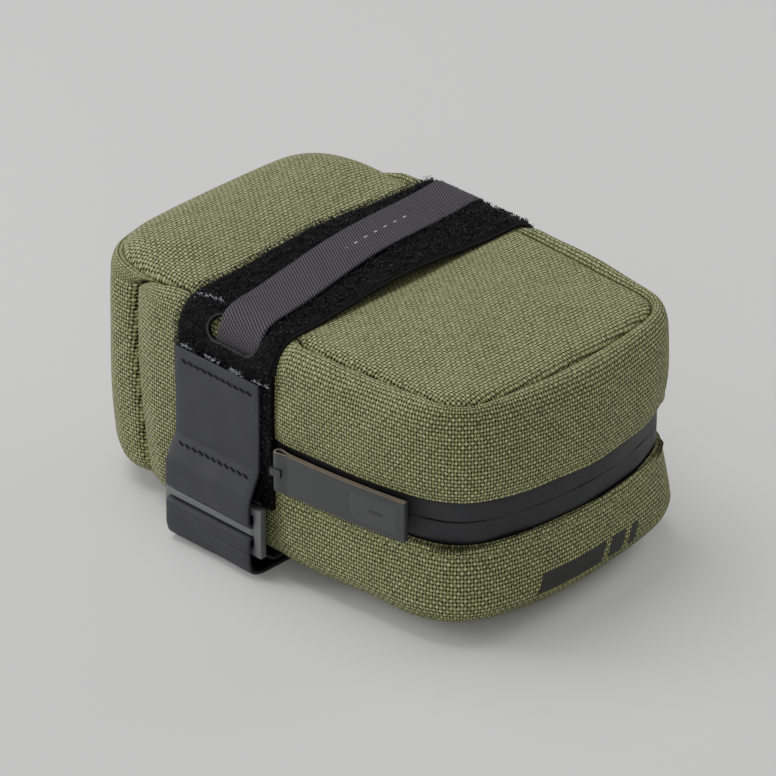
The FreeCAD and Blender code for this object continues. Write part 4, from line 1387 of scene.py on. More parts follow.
@dataclass
class PullTab:
    """The pull: one coated strip folded round the slider's pin, with a plain end panel."""

    layer: float = 0.82
    gap: float = 0.06
    nose: float = 1.15
    panel_from: float = 3.2
    panel_long: float = 15.0
    panel_high: float = 8.2
    mark_long: float = 4.6
    mark_high: float = 1.1

    def face_line(self) -> np.ndarray:
        """(x, y) points along the strip's outer face, from the pin to the free end."""
        tree = node_tree("pull_strip")
        lo, hi = low("pull_strip"), high("pull_strip")
        points = []
        for x in np.arange(lo.x + 2.6, hi.x - 0.2, 1.0):
            hit = tree.ray_cast(Vector((x, lo.y - 20, (lo.z + hi.z) / 2)) * MM, Vector((0, 1, 0)))[0]
            if hit is not None:
                points.append((hit.x / MM, hit.y / MM))
        last = np.array(points[-1]) + (np.array(points[-1]) - np.array(points[-2])) * 0.3
        return soft_path(points + [tuple(last)], 0.8, 2.0)

    def strip(self) -> bpy.types.Object:
        """Builds the folded strip as one band round the pin."""
        face = self.face_line()
        sides, _ = path_sides(face)
        inward = np.where(sides[:, 1:] > 0, sides, -sides)
        outer = face + inward * (self.layer / 2)
        inner = face + inward * (self.layer * 1.5 + self.gap)
        pin = (low("pull_pin") + high("pull_pin")) / 2
        turn = [(pin.x - self.nose * math.sin(a), pin.y - self.nose * math.cos(a))
                for a in np.linspace(0.1, math.pi - 0.1, 9)]
        line = soft_path([*outer[::-1], *turn, *inner], 0.7, 0.35)
        lo, hi = low("pull_strip"), high("pull_strip")
        band = Band(line, hi.z - lo.z, self.layer, 0.0, 0.2)
        piece = band.build("pull_strip_folded")
        stand_up(piece, (lo.z + hi.z) / 2)
        return piece

    def build(self) -> None:
        """Builds the strip, its end panel and the plain mark on it."""
        strip = self.strip()
        strip.data.materials.append(Finish.PULL.material())
        strip.data.materials.append(Finish.RAW_EDGE.material())
        for face in strip.data.polygons:
            if abs(face.normal.z) > 0.75:
                face.material_index = 1
        dress(strip, Finish.PULL, "pull_fabric", "pull", "pull_strip")
        end = high("pull_strip").x
        middle = (low("pull_strip").z + high("pull_strip").z) / 2
        panel = self.overlay("pull_end_panel", end - self.panel_from - self.panel_long, end - self.panel_from,
                             middle, self.panel_high, 0.10)
        dress(panel, Finish.PULL_PANEL, "pull_fabric", "pull")
        centre = end - self.panel_from - self.panel_long * 0.45
        half = self.mark_long / 2
        mark = self.overlay("pull_plain_mark", centre - half, centre + half, middle, self.mark_high, 0.14)
        dress(mark, Finish.PULL_MARK, "pull_fabric", "pull")

    def overlay(self, name: str, start: float, end: float, middle: float, height: float,
                stand: float) -> bpy.types.Object:
        """Builds a thin patch with rounded corners on the strip's outer face."""
        face = self.face_line()
        sides, _ = path_sides(face)
        outward = np.where(sides[:, 1:] < 0, sides, -sides)
        x = np.linspace(start, end, 40)
        y = np.interp(x, face[:, 0], face[:, 1])
        out = np.stack([np.interp(x, face[:, 0], outward[:, k]) for k in (0, 1)], 1)
        corner = min(1.2, height * 0.45, (end - start) * 0.45)
        near_end = np.clip(corner - np.minimum(x - start, end - x), 0, corner)
        half = height / 2 - corner + np.sqrt(corner ** 2 - near_end ** 2)
        across = np.linspace(-1, 1, 9)
        z = middle + across[None] * half[:, None]
        lift = stand * (1 - 0.9 * (np.abs(across)[None] > 0.99)) * np.ones_like(z)
        lift[[0, -1]] = stand * 0.1
        points = np.stack([x[:, None] + out[:, :1] * lift, y[:, None] + out[:, 1:] * lift, z], -1)
        uvs = np.stack([np.broadcast_to(x[:, None], z.shape), z], -1)
        piece = grid_mesh(name, points, uvs)
        if sum(f.normal.y for f in piece.data.polygons) > 0:
            piece.data.flip_normals()
        return piece


def stand_up(piece: bpy.types.Object, middle: float) -> None:
    """Turns a band made across X in the Y-Z plane into one that stands along Z in the X-Y plane."""
    for vertex in piece.data.vertices:
        x, y, z = vertex.co
        vertex.co = (y, z, middle * MM + x)
    bm = bmesh.new()
    bm.from_mesh(piece.data)
    bmesh.ops.recalc_face_normals(bm, faces=bm.faces)
    bm.to_mesh(piece.data)
    bm.free()


# ---- rail strap ----
@dataclass(frozen=True)
class StrapRoute:
    """The strap's run round the bag, as (y, z) points of its middle, in millimetres."""

    datum: Datum
    thickness: float = 1.5
    radius: float = 9.2
    arch: float = 2.0
    arch_half: float = 40.0

    def lifted(self, line: np.ndarray) -> np.ndarray:
        """Arches the part that runs over the top."""
        over = (np.abs(line[:, 0]) < self.arch_half) & (line[:, 1] > self.datum.zip_mid)
        rise = self.arch * np.cos(line[:, 0] / self.arch_half * math.pi / 2) ** 2
        return np.stack([line[:, 0], line[:, 1] + np.where(over, rise, 0)], 1)

    @cached_property
    def line(self) -> np.ndarray:
        """From the near end above the buckle, over the top, and round under the bag."""
        d = self.datum
        side, up = d.strap_out - self.thickness / 2, d.strap_up - self.thickness / 2
        down = d.strap_down + self.thickness / 2
        path = rounded_path([(-side, low("coated_patch").z + 3), (-side, up), (side, up), (side, down),
                             (self.radius - side, down)], [self.radius] * 3, 0.7)
        return self.lifted(path)

    @cached_property
    def outward(self) -> np.ndarray:
        """Outward directions along the strap's run."""
        normals, _ = path_sides(self.line)
        return normals * (1.0 if normals[len(normals) // 3][1] > 0 else -1.0)

    @cached_property
    def run(self) -> np.ndarray:
        """Distance along the strap at each point of its run."""
        return path_sides(self.line)[1]


@dataclass
class PileStrap:
    """The wide looped-pile strap with its slots, edging, loops and frayed cut ends."""

    datum: Datum
    route: StrapRoute
    slot_half: float = 9.5
    slot_x: tuple = (1.5, -6.0)
    slot_corner: float = 5.0
    slot_start: float = 12.0
    slot_end: float = 62.0
    edging: float = 1.1
    loop_height: float = 0.85
    loop_wide: float = 0.75
    loop_wire: float = 0.10
    density: float = 1.3
    strip_sides: int = 12
    side_run: float = 62.0
    under_webbing: float = 1.5
    seed: int = 40

    @cached_property
    def slot_marks(self) -> list:
        """Distances along the strap at which each slot starts and ends."""
        line, run = self.route.line, self.route.run
        d, r = self.datum, self.route.radius
        side, up = d.strap_out - self.route.thickness / 2, d.strap_up - self.route.thickness / 2
        marks = []
        for hand in (-1, 1):
            places = []
            for degrees in (self.slot_start, self.slot_end):
                a = math.radians(degrees)
                spot = np.array([hand * (side - r + r * math.cos(a)), up - r + r * math.sin(a)])
                places.append(run[np.argmin(np.linalg.norm(line - spot, axis=1))])
            marks.append(tuple(sorted(places)))
        return marks

    @property
    def edging_start(self) -> float:
        """Distance along the strap at which its edging starts."""
        return self.slot_marks[0][0] - 2.0

    def opening(self, at: float) -> float:
        """Half width of the slot at a distance along the strap, or 0 outside it."""
        for start, end in self.slot_marks:
            if start - 1e-6 <= at <= end + 1e-6:
                corner = min(self.slot_corner, (end - start) / 2)
                deep = max(0.0, corner - min(at - start, end - at))
                return self.slot_half - corner + math.sqrt(max(0.0, corner ** 2 - deep ** 2))
        return 0.0

    def slot_middle(self, at: float) -> float:
        """X of the nearer slot's middle, eased from one slot to the other over the top."""
        near, far = self.slot_marks
        share = float(ease(at, near[1], far[0]))
        return self.slot_x[0] * (1 - share) + self.slot_x[1] * share

    def cloth(self) -> bpy.types.Object:
        """Builds the strap's cloth with both slots open."""
        marks, run = self.slot_marks, self.route.run
        stops = sorted({float(m) for pair in marks for m in pair})
        runs = [0.0, *stops, float(run[-1])]
        corner = min(self.slot_corner, (marks[0][1] - marks[0][0]) / 2)
        inner = self.slot_half - corner
        half = self.datum.strap_edge - 0.6
        points, faces, uvs, count = [], [], [], 0
        for first, last in zip(runs, runs[1:]):
            cut = any(abs(first - pair[0]) < 1e-6 for pair in marks)
            rows = np.linspace(first, last, max(3, int((last - first) / (0.45 if cut else 0.8)) + 1))
            outer = np.linspace(0, 1, 12)
            for hand in (-1.0, 1.0):
                x = []
                for at in rows:
                    middle = self.slot_middle(at)
                    edge = middle + hand * (self.opening(at) if cut else inner)
                    xs = edge + (hand * half - edge) * outer
                    x.append(xs if cut else np.concatenate([np.linspace(middle, edge, 9)[:-1], xs]))
                x = np.array(x)
                place = self.place(x, np.repeat(rows[:, None], x.shape[1], axis=1))
                strip = grid_faces(*x.shape) + count
                points.append(place.reshape(-1, 3))
                uvs.append(np.stack([x, np.repeat(rows[:, None], x.shape[1], axis=1)], -1).reshape(-1, 2))
                faces.append(strip if hand > 0 else strip[:, ::-1])
                count += x.size
        piece = parts_mesh("pile_strap_cloth", points, faces, uvs)
        face_out(piece, np.array([0, 0, self.datum.zip_mid]))
        finish_modifier(piece, "SOLIDIFY", thickness=self.route.thickness * MM, offset=0.0)
        return piece

    def place(self, x: np.ndarray, at: np.ndarray, lift: np.ndarray | float = 0.0) -> np.ndarray:
        """Places on the strap, across and along it, lifted off its middle."""
        route = self.route
        y, z, ny, nz = (np.interp(at, route.run, values) for values in (*route.line.T, *route.outward.T))
        wave = 0.25 * ripple(np.stack([x, y, z], -1), 24.0, self.seed)
        return np.stack([x, y + ny * (lift + wave), z + nz * (lift + wave)], -1)

    def edge_strip(self, name: str, x: float, width: float, lift: float,
                   thickness: float) -> bpy.types.Object:
        """Builds a smooth strip along one edge of the strap, from its near shoulder on."""
        at = np.linspace(self.edging_start, self.route.run[-1], 300)
        sides = self.strip_sides
        turn = np.linspace(0, 2 * math.pi, sides + 1)[:-1]
        across, up = np.cos(turn), np.sin(turn)
        across = np.sign(across) * np.abs(across) ** 0.5 * width / 2
        up = np.sign(up) * np.abs(up) ** 0.6 * thickness / 2
        xs = x + across[None] + 0 * at[:, None]
        place = self.place(xs, np.repeat(at[:, None], sides, axis=1), lift + up[None])
        faces = ring_faces(len(at), sides).tolist()
        faces += [list(range(sides))[::-1], [(len(at) - 1) * sides + k for k in range(sides)]]
        uvs = np.stack([xs, np.repeat(at[:, None], sides, axis=1)], -1)
        return build_mesh(name, place.reshape(-1, 3), faces, uvs.reshape(-1, 2), False, True)

    def slot_hem(self, name: str, pair: tuple) -> bpy.types.Object:
        """Builds the smooth hem round one slot."""
        start, end = pair
        ups = [start + (end - start) * (0.5 - 0.5 * math.cos(k * math.pi / 24)) for k in range(25)]
        middle = self.slot_middle(start)
        right = [(middle + self.opening(at), at) for at in ups]
        left = [(2 * middle - x, at) for x, at in right[::-1]]
        ring = soft_path([*right, *left, right[0]], 0.5, 0.0)
        place = self.place(ring[:, 0], ring[:, 1], self.route.thickness * 0.30)
        return tube_mesh(name, [place], 0.42, 8)

    def loops(self, name: str, first: float, last: float, bare: tuple) -> bpy.types.Object:
        """Scatters pile loops over the strap's outer face.

        Args:
            name: The piece's name.
            first: Where the loops start along the strap.
            last: Where they end.
            bare: How far to the front and rear of the slot's middle the strap is covered and needs none.

        Returns:
            The loops as one piece.
        """
        rng = np.random.default_rng(self.seed + int(first))
        half = self.datum.strap_edge - (self.edging if first >= self.edging_start else 0.1)
        many = int((last - first) * 2 * half * self.density)
        x, at = rng.uniform(-half - 0.5, half, many), rng.uniform(first, last, many)
        off = x - np.array([self.slot_middle(a) for a in at])
        hole = np.array([self.opening(a) + 0.4 if self.opening(a) else 0 for a in at])
        keep = (off > np.maximum(hole, bare[1])) | (-off > np.maximum(hole, bare[0]))
        return self.tufts(name, x[keep], at[keep], rng, 1.0)

    def tufts(self, name: str, x: np.ndarray, at: np.ndarray, rng: np.random.Generator,
              size: float) -> bpy.types.Object:
        """Builds loops of yarn at places across and along the strap."""
        many = len(x)
        ranges = ((0, 2 * math.pi), (0.6, 1.3), (0.5, 1.2))
        spin, tall, wide = (rng.uniform(lo, hi, (many, 1)) for lo, hi in ranges)
        tilt = rng.normal(0, 0.25, (2, many, 1)) * np.array([0, 0.3, 1, 0.3, 0]) * self.loop_height
        reach = np.array([-0.5, -0.62, 0.0, 0.62, 0.5]) * self.loop_wide * wide * size
        rise = np.array([-0.1, 0.45, 1.0, 0.5, -0.1]) * self.loop_height * tall * size
        across = x[:, None] + reach * np.cos(spin) + tilt[0]
        along = at[:, None] + reach * np.sin(spin) + tilt[1]
        paths = self.place(across, along, self.route.thickness / 2 - 0.1 + rise)
        return tube_mesh(name, paths, self.loop_wire * (0.8 + 0.2 * size), 3)

    def edge_loops(self, name: str, first: float, last: float) -> bpy.types.Object:
        """Builds the bigger loops that stand off the strap's front edge."""
        rng = np.random.default_rng(self.seed + 5)
        paths = []
        for along in np.arange(first, last, 0.7):
            x = -self.datum.strap_edge + rng.uniform(-0.1, 0.6)
            size, spin = rng.uniform(0.7, 1.4), rng.uniform(-0.8, 0.8)
            turn = np.linspace(-0.3, 1.15, 7) * math.pi * 1.25
            out, up = -size * (1 - np.cos(turn)) * 0.75, size * np.sin(turn) * 0.7
            drift = np.linspace(-0.5, 0.5, 7) * rng.uniform(0.3, 1.0)
            lift = rng.uniform(0.2, 0.8) + up * math.cos(spin)
            at = along + rng.uniform(-0.3, 0.3) + drift + up * math.sin(spin)
            paths.append(self.place(x + out, at, lift))
        return tube_mesh(name, paths, 0.095, 4)

    def fray(self, name: str, start: tuple, end: tuple, many: int) -> bpy.types.Object:
        """Builds pale cut fibres along a line across or along the strap."""
        rng = np.random.default_rng(self.seed + many)
        paths = []
        for share in rng.uniform(0, 1, many):
            if math.sin(share * 23.0 + many) < -0.35:
                continue
            x, at = (a + (b - a) * share for a, b in zip(start, end))
            x, at = x + rng.normal(0, 0.25), at + rng.normal(0, 0.3)
            way = rng.uniform(0, 2 * math.pi)
            t = np.linspace(0, 1, 4) * rng.uniform(0.5, 1.5)
            arch = np.sin(np.linspace(0, math.pi, 4))
            lift = self.route.thickness / 2 + 0.15 + arch * rng.uniform(0.2, 0.8)
            paths.append(self.place(x + t * math.cos(way), at + t * math.sin(way) * 0.6, lift))
        return tube_mesh(name, paths, 0.07, 3)

    def build(self, patch_top: float) -> None:
        """Builds the strap and all that is on it, with the coated patch ending at patch_top along it."""
        strap = self.cloth()
        dress(strap, Finish.PILE, "pile", "bag", "pile_strap")
        edge = self.datum.strap_edge
        strips = ((edge - 0.75, 1.5, -0.12, 1.15), (-edge + 0.7, 1.4, -0.1, 1.1))
        for k, (x, width, lift, thickness) in enumerate(strips):
            strip = self.edge_strip(f"strap_edging_{k + 1}", x, width, lift, thickness)
            dress(strip, Finish.EDGING, "smooth_edging", "bag", *(["strap_edging"] if k == 0 else []))
        near, far = self.slot_marks
        for word, pair in (("near", near), ("far", far)):
            dress(self.slot_hem(f"slot_hem_{word}", pair), Finish.BINDING, "smooth_edging")
        length = self.route.run[-1]
        web_half = RailWebbing.width / 2
        start = self.edging_start
        turn, covered, open_pile = far[0] + self.side_run, web_half - self.under_webbing, (0.0, 0.0)
        parts = (("patch_side", 0.0, patch_top - 0.5, (20.0, 10.6)),
                 ("near_side", patch_top - 0.5, start, open_pile),
                 ("near_shoulder", start, near[1], open_pile),
                 ("over_top", near[1], far[0], (covered, covered)),
                 ("far_side", far[0], turn, open_pile), ("under", turn, length, open_pile))
        for word, first, last, bare in parts:
            dress(self.loops(f"pile_loops_{word}", first, last, bare), Finish.FIBRE, "pile")
        dress(self.edge_loops("edge_loops", patch_top, far[1] + 20), Finish.FIBRE, "pile")
        frayed = (("fray_over_patch", (-edge + 1, patch_top + 0.7), (edge - 1, patch_top + 0.7), 150),
                  ("fray_at_slot", (-edge + 1.0, near[1] + 1.0), (-8.5, near[1] + 3.0), 60),
                  ("fray_at_far_slot", (-edge + 1.0, far[0] + 1.0), (2.0, far[0] + 1.0), 50))
        for word, start, end, many in frayed:
            dress(self.fray(word, start, end, many), Finish.FRAY, "pile")


@dataclass
class RailWebbing:
    """The narrow webbing that comes out of both slots and runs over the strap, with small woven ticks."""

    datum: Datum
    route: StrapRoute
    thickness: float = 1.0
    stand: float = 0.15
    width: float = 15.5
    near_x: float = 2.8
    far_x: float = -6.0
    foot_degrees: float = 10.0
    tick_long: float = 1.3
    tick_wide: float = 0.45
    ticks: int = 9
    tick_pitch: float = 4.2

    def line(self) -> np.ndarray:
        """(y, z) points of the webbing's middle."""
        d, r = self.datum, self.route.radius
        centre_y = d.strap_out - self.route.thickness / 2 - r
        centre_z = d.strap_up - self.route.thickness / 2 - r
        outer = r + self.route.thickness / 2 + self.thickness / 2 + self.stand
        inner = r - self.route.thickness / 2 - self.thickness / 2 + 0.45
        marks = [(self.foot_degrees - 14, inner), (self.foot_degrees, inner), (24, inner + 0.25),
                 (38, inner + 0.9), (50, outer - 0.9), (62, outer + 0.1), (76, outer), (88, outer)]
        half = [(-(centre_y + rad * math.cos(math.radians(a))), centre_z + rad * math.sin(math.radians(a)))
                for a, rad in marks]
        arm = [*half, (-20.0, centre_z + outer)]
        path = soft_path([*arm, *[(-y, z) for y, z in arm[::-1]]], 0.7, 1.1)
        return self.route.lifted(path)

    def build(self) -> None:
        """Builds the webbing and its ticks."""
        reach = 2 * (self.datum.strap_out - self.route.radius)
        skew, middle_x = (self.far_x - self.near_x) / reach, (self.far_x + self.near_x) / 2
        band = Band(self.line(), self.width, self.thickness, middle_x, 0.4, 0.12, 5, skew)
        dress(band.build("rail_webbing_band"), Finish.WEBBING, "webbing", "bag", "rail_webbing")
        points, faces, uvs, count = [], [], [], 0
        line = self.line()
        normals, run = path_sides(line)
        outward = normals * (1.0 if normals[len(normals) // 2][1] > 0 else -1.0)
        middle = run[np.argmax(line[:, 0] > 4)]
        for k in range(self.ticks):
            centre = middle + (k - (self.ticks - 1) / 2) * self.tick_pitch
            at = centre + np.linspace(-0.5, 0.5, 5) * self.tick_long
            y, z, ny, nz = (np.interp(at, run, values) for values in (*line.T, *outward.T))
            for edge in (-1, 1):
                x = middle_x + skew * y + edge * self.tick_wide / 2
                lift = self.thickness / 2 + 0.05
                points.append(np.stack([x, y + ny * lift, z + nz * lift], 1))
            faces.append(np.array([[j, j + 1, j + 6, j + 5] for j in range(4)]) + count)
            uvs.append(np.zeros((10, 2)))
            count += 10
        ticks = parts_mesh("webbing_ticks", points, faces, uvs)
        face_out(ticks, np.array([0, 0, self.datum.zip_mid]))
        thicken(ticks, 0.08)
        dress(ticks, Finish.TICK, "webbing")


@dataclass
class PatchAndBuckle:
    """The coated patch, the slide buckle and the strap's free end with its hooks."""

    datum: Datum
    route: StrapRoute
    patch: float = 1.0
    tail: float = 1.0
    backing: float = 0.7
    bar: float = 2.3
    side_bar: float = 2.8
    loop_in: float = 1.69
    clear: float = 0.25
    wider: float = 1.4
    frame_bevel: float = 0.45
    bar_forward: float = 0.5
    stitch_rows: tuple = (3.6, 28.4)

    @property
    def middle_x(self) -> float:
        """Middle of the buckle."""
        return (low("buckle_frame").x + high("buckle_frame").x) / 2

    @property
    def bar_y(self) -> float:
        """Depth of the buckle's middle plane."""
        return (low("buckle_frame").y + high("buckle_frame").y) / 2

    @property
    def reach(self) -> float:
        """How far from a bar's middle its wrap reaches into the opening."""
        opening = (high("buckle_frame").z - low("buckle_frame").z - 3 * self.bar) / 2
        return self.bar / 2 + opening - self.clear

    def band(self, name: str, line: np.ndarray, width: float, thickness: float,
             seed: int) -> bpy.types.Object:
        """Builds a strip that covers the buckle's front side bar."""
        centre = self.middle_x - self.wider / 2
        return Band(line, width + self.wider, thickness, centre, 0.3, 0.12, seed).build(name)

    def patch_line(self) -> np.ndarray:
        """(y, z) points of the patch, from its top end round the buckle's top bar."""
        face, top = -self.datum.strap_out - self.patch / 2, high("coated_patch").z
        bar_z = high("buckle_frame").z - self.bar / 2
        r = self.loop_in + self.patch / 2
        front, back, foot = self.bar_y - r, self.bar_y + r, bar_z - self.reach + self.patch / 2
        return soft_path([(face, top), (face, top - 12), (face - 0.3, bar_z + 11), (front + 0.6, bar_z + 4.2),
                          (front, bar_z + 1.5), (front, foot + 0.7), (front + 0.7, foot),
                          (back - 1.6, foot), (back, foot + 1.6), (back, bar_z + 1.5)], 0.5, 0.4)

    def build(self) -> None:
        """Builds patch, stitches, buckle, end strap, tail and hooks."""
        width = high("coated_patch").x - low("coated_patch").x
        patch = self.band("coated_patch_band", self.patch_line(), width, self.patch, 6)
        dress(patch, Finish.STRAP, "coated_strap", "bag", "coated_patch")
        self.stitches(patch, width)
        self.buckle()
        self.end_loop()
        self.free_end()

    def stitches(self, patch: bpy.types.Object, width: float) -> None:
        """Sews the two rows that hold the patch."""
        top = high("coated_patch").z
        for k, down in enumerate(self.stitch_rows):
            x = np.arange(self.middle_x - width / 2 + 0.8, self.middle_x + width / 2 - 0.8, 0.4)
            line = np.stack([x, np.full(len(x), -self.datum.strap_out - 10), np.full(len(x), top - down)], 1)
            ways = np.tile([0.0, -1.0, 0.0], (len(x), 1))
            row = StitchRow(line, ways, 2.3, 0.15, 0.26, 0.42, 0.1).build(f"patch_stitch_row_{k + 1}", patch)
            dress(row, Finish.THREAD, "thread", "bag", *(["patch_stitches"] if k == 0 else []))

    def buckle(self) -> None:
        """Models the slide buckle: a flat frame with three bars, the middle one standing forward."""
        lo, hi = low("buckle_frame"), high("buckle_frame")
        bpy.ops.object.select_all(action="DESELECT")
        bpy.ops.mesh.primitive_grid_add(x_subdivisions=3, y_subdivisions=5, size=1.0, location=(0, 0, 0))
        piece = bpy.context.active_object
        piece.name = "slide_buckle"
        across = [lo.x, lo.x + self.side_bar, hi.x - self.side_bar, hi.x]
        pitch = (hi.z - lo.z - self.bar) / 2
        up = [lo.z, lo.z + self.bar, lo.z + pitch, lo.z + pitch + self.bar, hi.z - self.bar, hi.z]
        for vertex in piece.data.vertices:
            i, j = round((vertex.co.x + 0.5) * 3), round((vertex.co.y + 0.5) * 5)
            vertex.co = Vector((across[i], hi.y, up[j])) * MM
        bpy.ops.object.mode_set(mode="EDIT")
        bm = bmesh.from_edit_mesh(piece.data)
        bpy.ops.mesh.select_all(action="DESELECT")
        bpy.ops.mesh.select_mode(type="FACE")
        mid_x, inside = (lo.x + hi.x) / 2 * MM, (hi.x - lo.x) / 4 * MM
        for face in bm.faces:
            centre = face.calc_center_median()
            level = sum(centre.z > z * MM for z in up)
            face.select_set(abs(centre.x - mid_x) < inside and level in (2, 4))
        bmesh.update_edit_mesh(piece.data)
        bpy.ops.mesh.delete(type="FACE")
        bpy.ops.mesh.select_all(action="SELECT")
        bpy.ops.mesh.extrude_region_move(TRANSFORM_OT_translate={"value": (0, -(hi.y - lo.y) * MM, 0)})
        bpy.ops.mesh.select_all(action="SELECT")
        bpy.ops.mesh.normals_make_consistent(inside=False)
        bpy.ops.mesh.select_all(action="DESELECT")
        bm = bmesh.from_edit_mesh(piece.data)
        for face in bm.faces:
            centre = face.calc_center_median()
            level = sum(centre.z > z * MM for z in up)
            face.select_set(face.normal.y < -0.9 and abs(centre.x - mid_x) < inside and level == 3)
        bmesh.update_edit_mesh(piece.data)
        bpy.ops.mesh.inset(thickness=0.2 * MM, depth=self.bar_forward * MM)
        bpy.ops.object.mode_set(mode="OBJECT")
        finish_modifier(piece, "BEVEL", width=self.frame_bevel * MM, segments=3, limit_method="ANGLE",
                        angle_limit=math.radians(40))
        pick(piece)
        bpy.ops.object.shade_smooth_by_angle(angle=math.radians(40))
        dress(piece, Finish.BUCKLE, "buckle", "bag", "buckle_frame")

    def end_loop(self) -> None:
        """Builds the short strap that comes up behind the buckle and over its lowest bar."""
        lo = low("buckle_frame")
        bar_z, r = lo.z + self.bar / 2, self.loop_in + self.tail / 2
        back, front, down = self.bar_y + r, self.bar_y - r, self.datum.strap_down + self.route.thickness / 2
        start = high("end_strap").y
        head = bar_z + self.reach - self.tail / 2
        line = soft_path([(start, down), (back + 5, down), (back + 0.8, down + 3.0), (back, bar_z),
                          (back, head - 1.6), (back - 1.6, head), (front + 0.7, head),
                          (front, head - 0.7), (front, bar_z), (front, bar_z - 0.3)], 0.5, 0.4)
        width = high("end_strap").x - low("end_strap").x
        band = self.band("end_strap_loop", line, width, self.tail, 9)
        dress(band, Finish.STRAP, "coated_strap", "bag", "end_strap")

    def tail_line(self, inward: float) -> np.ndarray:
        """(y, z) points of the free end, so far inside its outer face's middle."""
        bar_z, r = low("buckle_frame").z + self.bar / 2, self.loop_in + self.tail / 2
        front, floor, end = self.bar_y - r + inward, self.tail / 2 + inward, high("strap_tail").y
        return soft_path([(front, bar_z - 0.3), (front, bar_z - 2.8), (front + 0.9, floor + 1.2),
                          (front + 4.5, floor), (end, floor)], 0.6, 1.1)

    def free_end(self) -> None:
        """Builds the free end with its pile backing and hook strip."""
        width = high("strap_tail").x - low("strap_tail").x
        outer = self.band("strap_free_end", self.tail_line(0.0), width, self.tail, 9)
        dress(outer, Finish.STRAP, "coated_strap", "tail", "strap_tail")
        inner = self.tail_line(self.tail / 2 + 0.1)[3:46]
        backing = Band(inner, width - 0.8, self.backing, self.middle_x, 0.3, 0.0, 10)
        dress(backing.build("free_end_backing"), Finish.PILE, "pile", "tail")
        lo, hi = low("hook_strip"), high("hook_strip")
        hook_line = np.stack([np.linspace(lo.y, hi.y, 40), np.full(40, (lo.z + hi.z) / 2)], 1)
        hook = Band(hook_line, hi.x - lo.x, hi.z - lo.z, self.middle_x, 0.2).build("hook_strip_band")
        dress(hook, Finish.HOOK, "hooks", "tail", "hook_strip")


# ---- print ----
@dataclass
class PrintedBars:
    """Plain slanted bars printed on the rear wall below the zip."""

    outline: Outline
    cloth: bpy.types.Object
    shell: BagShell
    middle_y: float = -1.0
    low_z: float = 10.4
    height: float = 5.6
    slant: float = 0.35
    widths: tuple = (24.0, 6.0, 3.0)
    gap: float = 2.4

    def build(self) -> None:
        """Prints the bars onto the cloth's face."""
        points, faces, uvs, count = [], [], [], 0
        rear = self.outline.datum.rear
        at = self.middle_y - (sum(self.widths) + self.gap * (len(self.widths) - 1)) / 2
        for width in self.widths:
            across, up = np.linspace(0, width, max(4, int(width / 0.8))), np.linspace(0, self.height, 8)
            y = at + across[:, None] + self.slant * up[None]
            z = self.low_z + up[None] + 0 * y
            flat = np.stack([np.full(y.shape, rear + 5), y, z], -1).reshape(-1, 3)
            ways = np.tile([1.0, 0.0, 0.0], (len(flat), 1))
            points.append(on_surface(self.cloth, flat, ways) + ways * 0.05)
            faces.append(grid_faces(*y.shape) + count)
            uvs.append(flat[:, 1:])
            count += len(flat)
            at += width + self.gap
        piece = parts_mesh("printed_bars", points, faces, uvs)
        if sum(face.normal.x for face in piece.data.polygons) < 0:
            piece.data.flip_normals()
        dress(piece, Finish.PRINT, "fabric_green", None)
        self.shell.bend(piece)


# ---- parts kept from the frame ----
KEPT = {"top_board": Finish.BOARD, "bottom_board_front": Finish.BOARD, "bottom_board_rear": Finish.BOARD,
        "zip_end_tabs": Finish.TAPE, "zip_stops": Finish.METAL, "slider_body": Finish.METAL,
        "slider_bail": Finish.METAL, "pull_pin": Finish.METAL}


def dress_kept() -> None:
    """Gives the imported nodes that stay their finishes."""
    for name, finish in KEPT.items():
        node = frame["nodes"][name]
        node.data.materials.clear()
        node.data.materials.append(finish.material())
        LOG.info("%s: packed node, %s", name, finish.value.name)


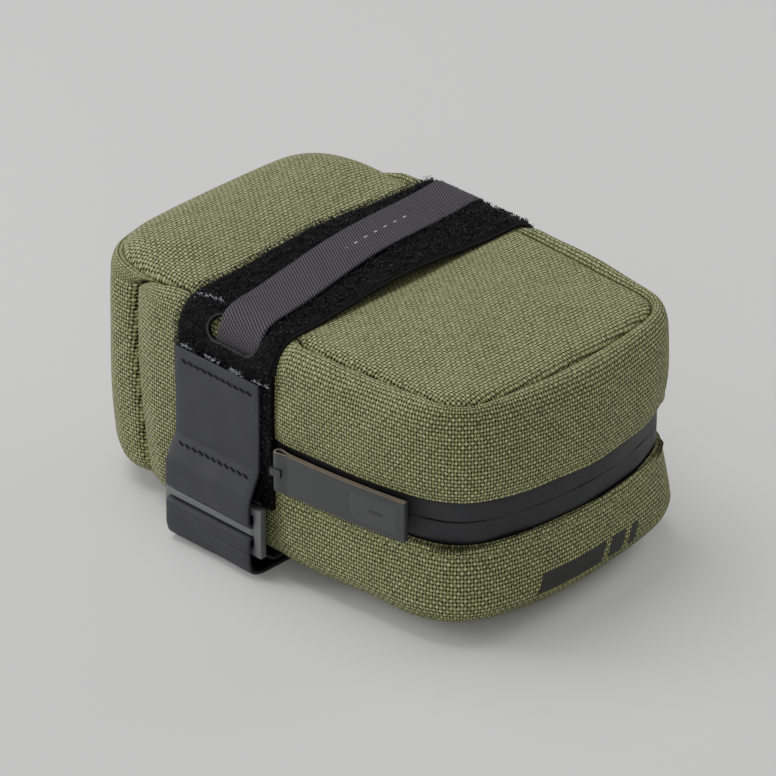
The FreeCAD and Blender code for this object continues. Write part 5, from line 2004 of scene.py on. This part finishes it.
# ---- studio ----
@dataclass
class Studio:
    """Pale floor, soft lights and the camera."""

    target: tuple = (9.4, 1.0, 34.0)
    azimuth: float = 44.3
    elevation: float = 30.0
    distance: float = 1500.0
    lens: float = 257.0
    world: float = 0.30
    lamps: tuple = (((-300, -50, 900), 600, 7.2), ((650, -800, 380), 500, 2.5), ((-800, -500, 300), 450, 4.6),
                    ((200, 800, 500), 500, 2.5))

    def build(self) -> None:
        """Builds floor, world, lights and camera."""
        bpy.ops.object.select_all(action="DESELECT")
        bpy.ops.mesh.primitive_plane_add(size=12, location=(0, 0, 0))
        floor = bpy.context.active_object
        floor.name = "studio_floor"
        material, _, shader = new_material("pale_floor")
        shader.inputs["Base Color"].default_value = (0.80, 0.80, 0.79, 1)
        shader.inputs["Roughness"].default_value = 0.9
        floor.data.materials.append(material)
        world = bpy.data.worlds.new("studio_air")
        world.use_nodes = True
        background = world.node_tree.nodes["Background"]
        background.inputs[0].default_value = (1, 1, 1, 1)
        background.inputs[1].default_value = self.world
        bpy.context.scene.world = world
        aim = Vector(self.target) * MM
        for k, (place, size, power) in enumerate(self.lamps):
            lamp = bpy.data.lights.new(f"soft_box_{k + 1}", "AREA")
            lamp.energy, lamp.size = power, size * MM
            box = bpy.data.objects.new(lamp.name, lamp)
            box.location = Vector(place) * MM
            box.rotation_euler = (aim - box.location).to_track_quat("-Z", "Y").to_euler()
            bpy.context.collection.objects.link(box)
        az, el = math.radians(self.azimuth), math.radians(self.elevation)
        way = Vector((math.sin(az) * math.cos(el), -math.cos(az) * math.cos(el), math.sin(el)))
        data = bpy.data.cameras.new("camera")
        data.lens, data.clip_end = self.lens, 20
        camera = bpy.data.objects.new("camera", data)
        camera.location = aim + way * self.distance * MM
        camera.rotation_euler = (-way).to_track_quat("-Z", "Y").to_euler()
        bpy.context.collection.objects.link(camera)
        bpy.context.scene.camera = camera


def main() -> None:
    """Builds the whole bag."""
    logging.basicConfig(level=logging.INFO, format="%(name)s %(message)s", stream=sys.stdout)
    Studio().build()
    datum = Datum()
    outline, sizes = Outline(datum), ShellSizes()
    shell = BagShell(outline, sizes)
    shell.build()
    HiddenSeams(outline, shell).build()
    ZipLine(outline, shell).build()
    PrintedBars(outline, shell.lower, shell).build()
    PullTab().build()
    route = StrapRoute(datum)
    PileStrap(datum, route).build(high("coated_patch").z - low("coated_patch").z - 3)
    RailWebbing(datum, route).build()
    PatchAndBuckle(datum, route).build()
    dress_kept()


if __name__ == "__main__":
    main()
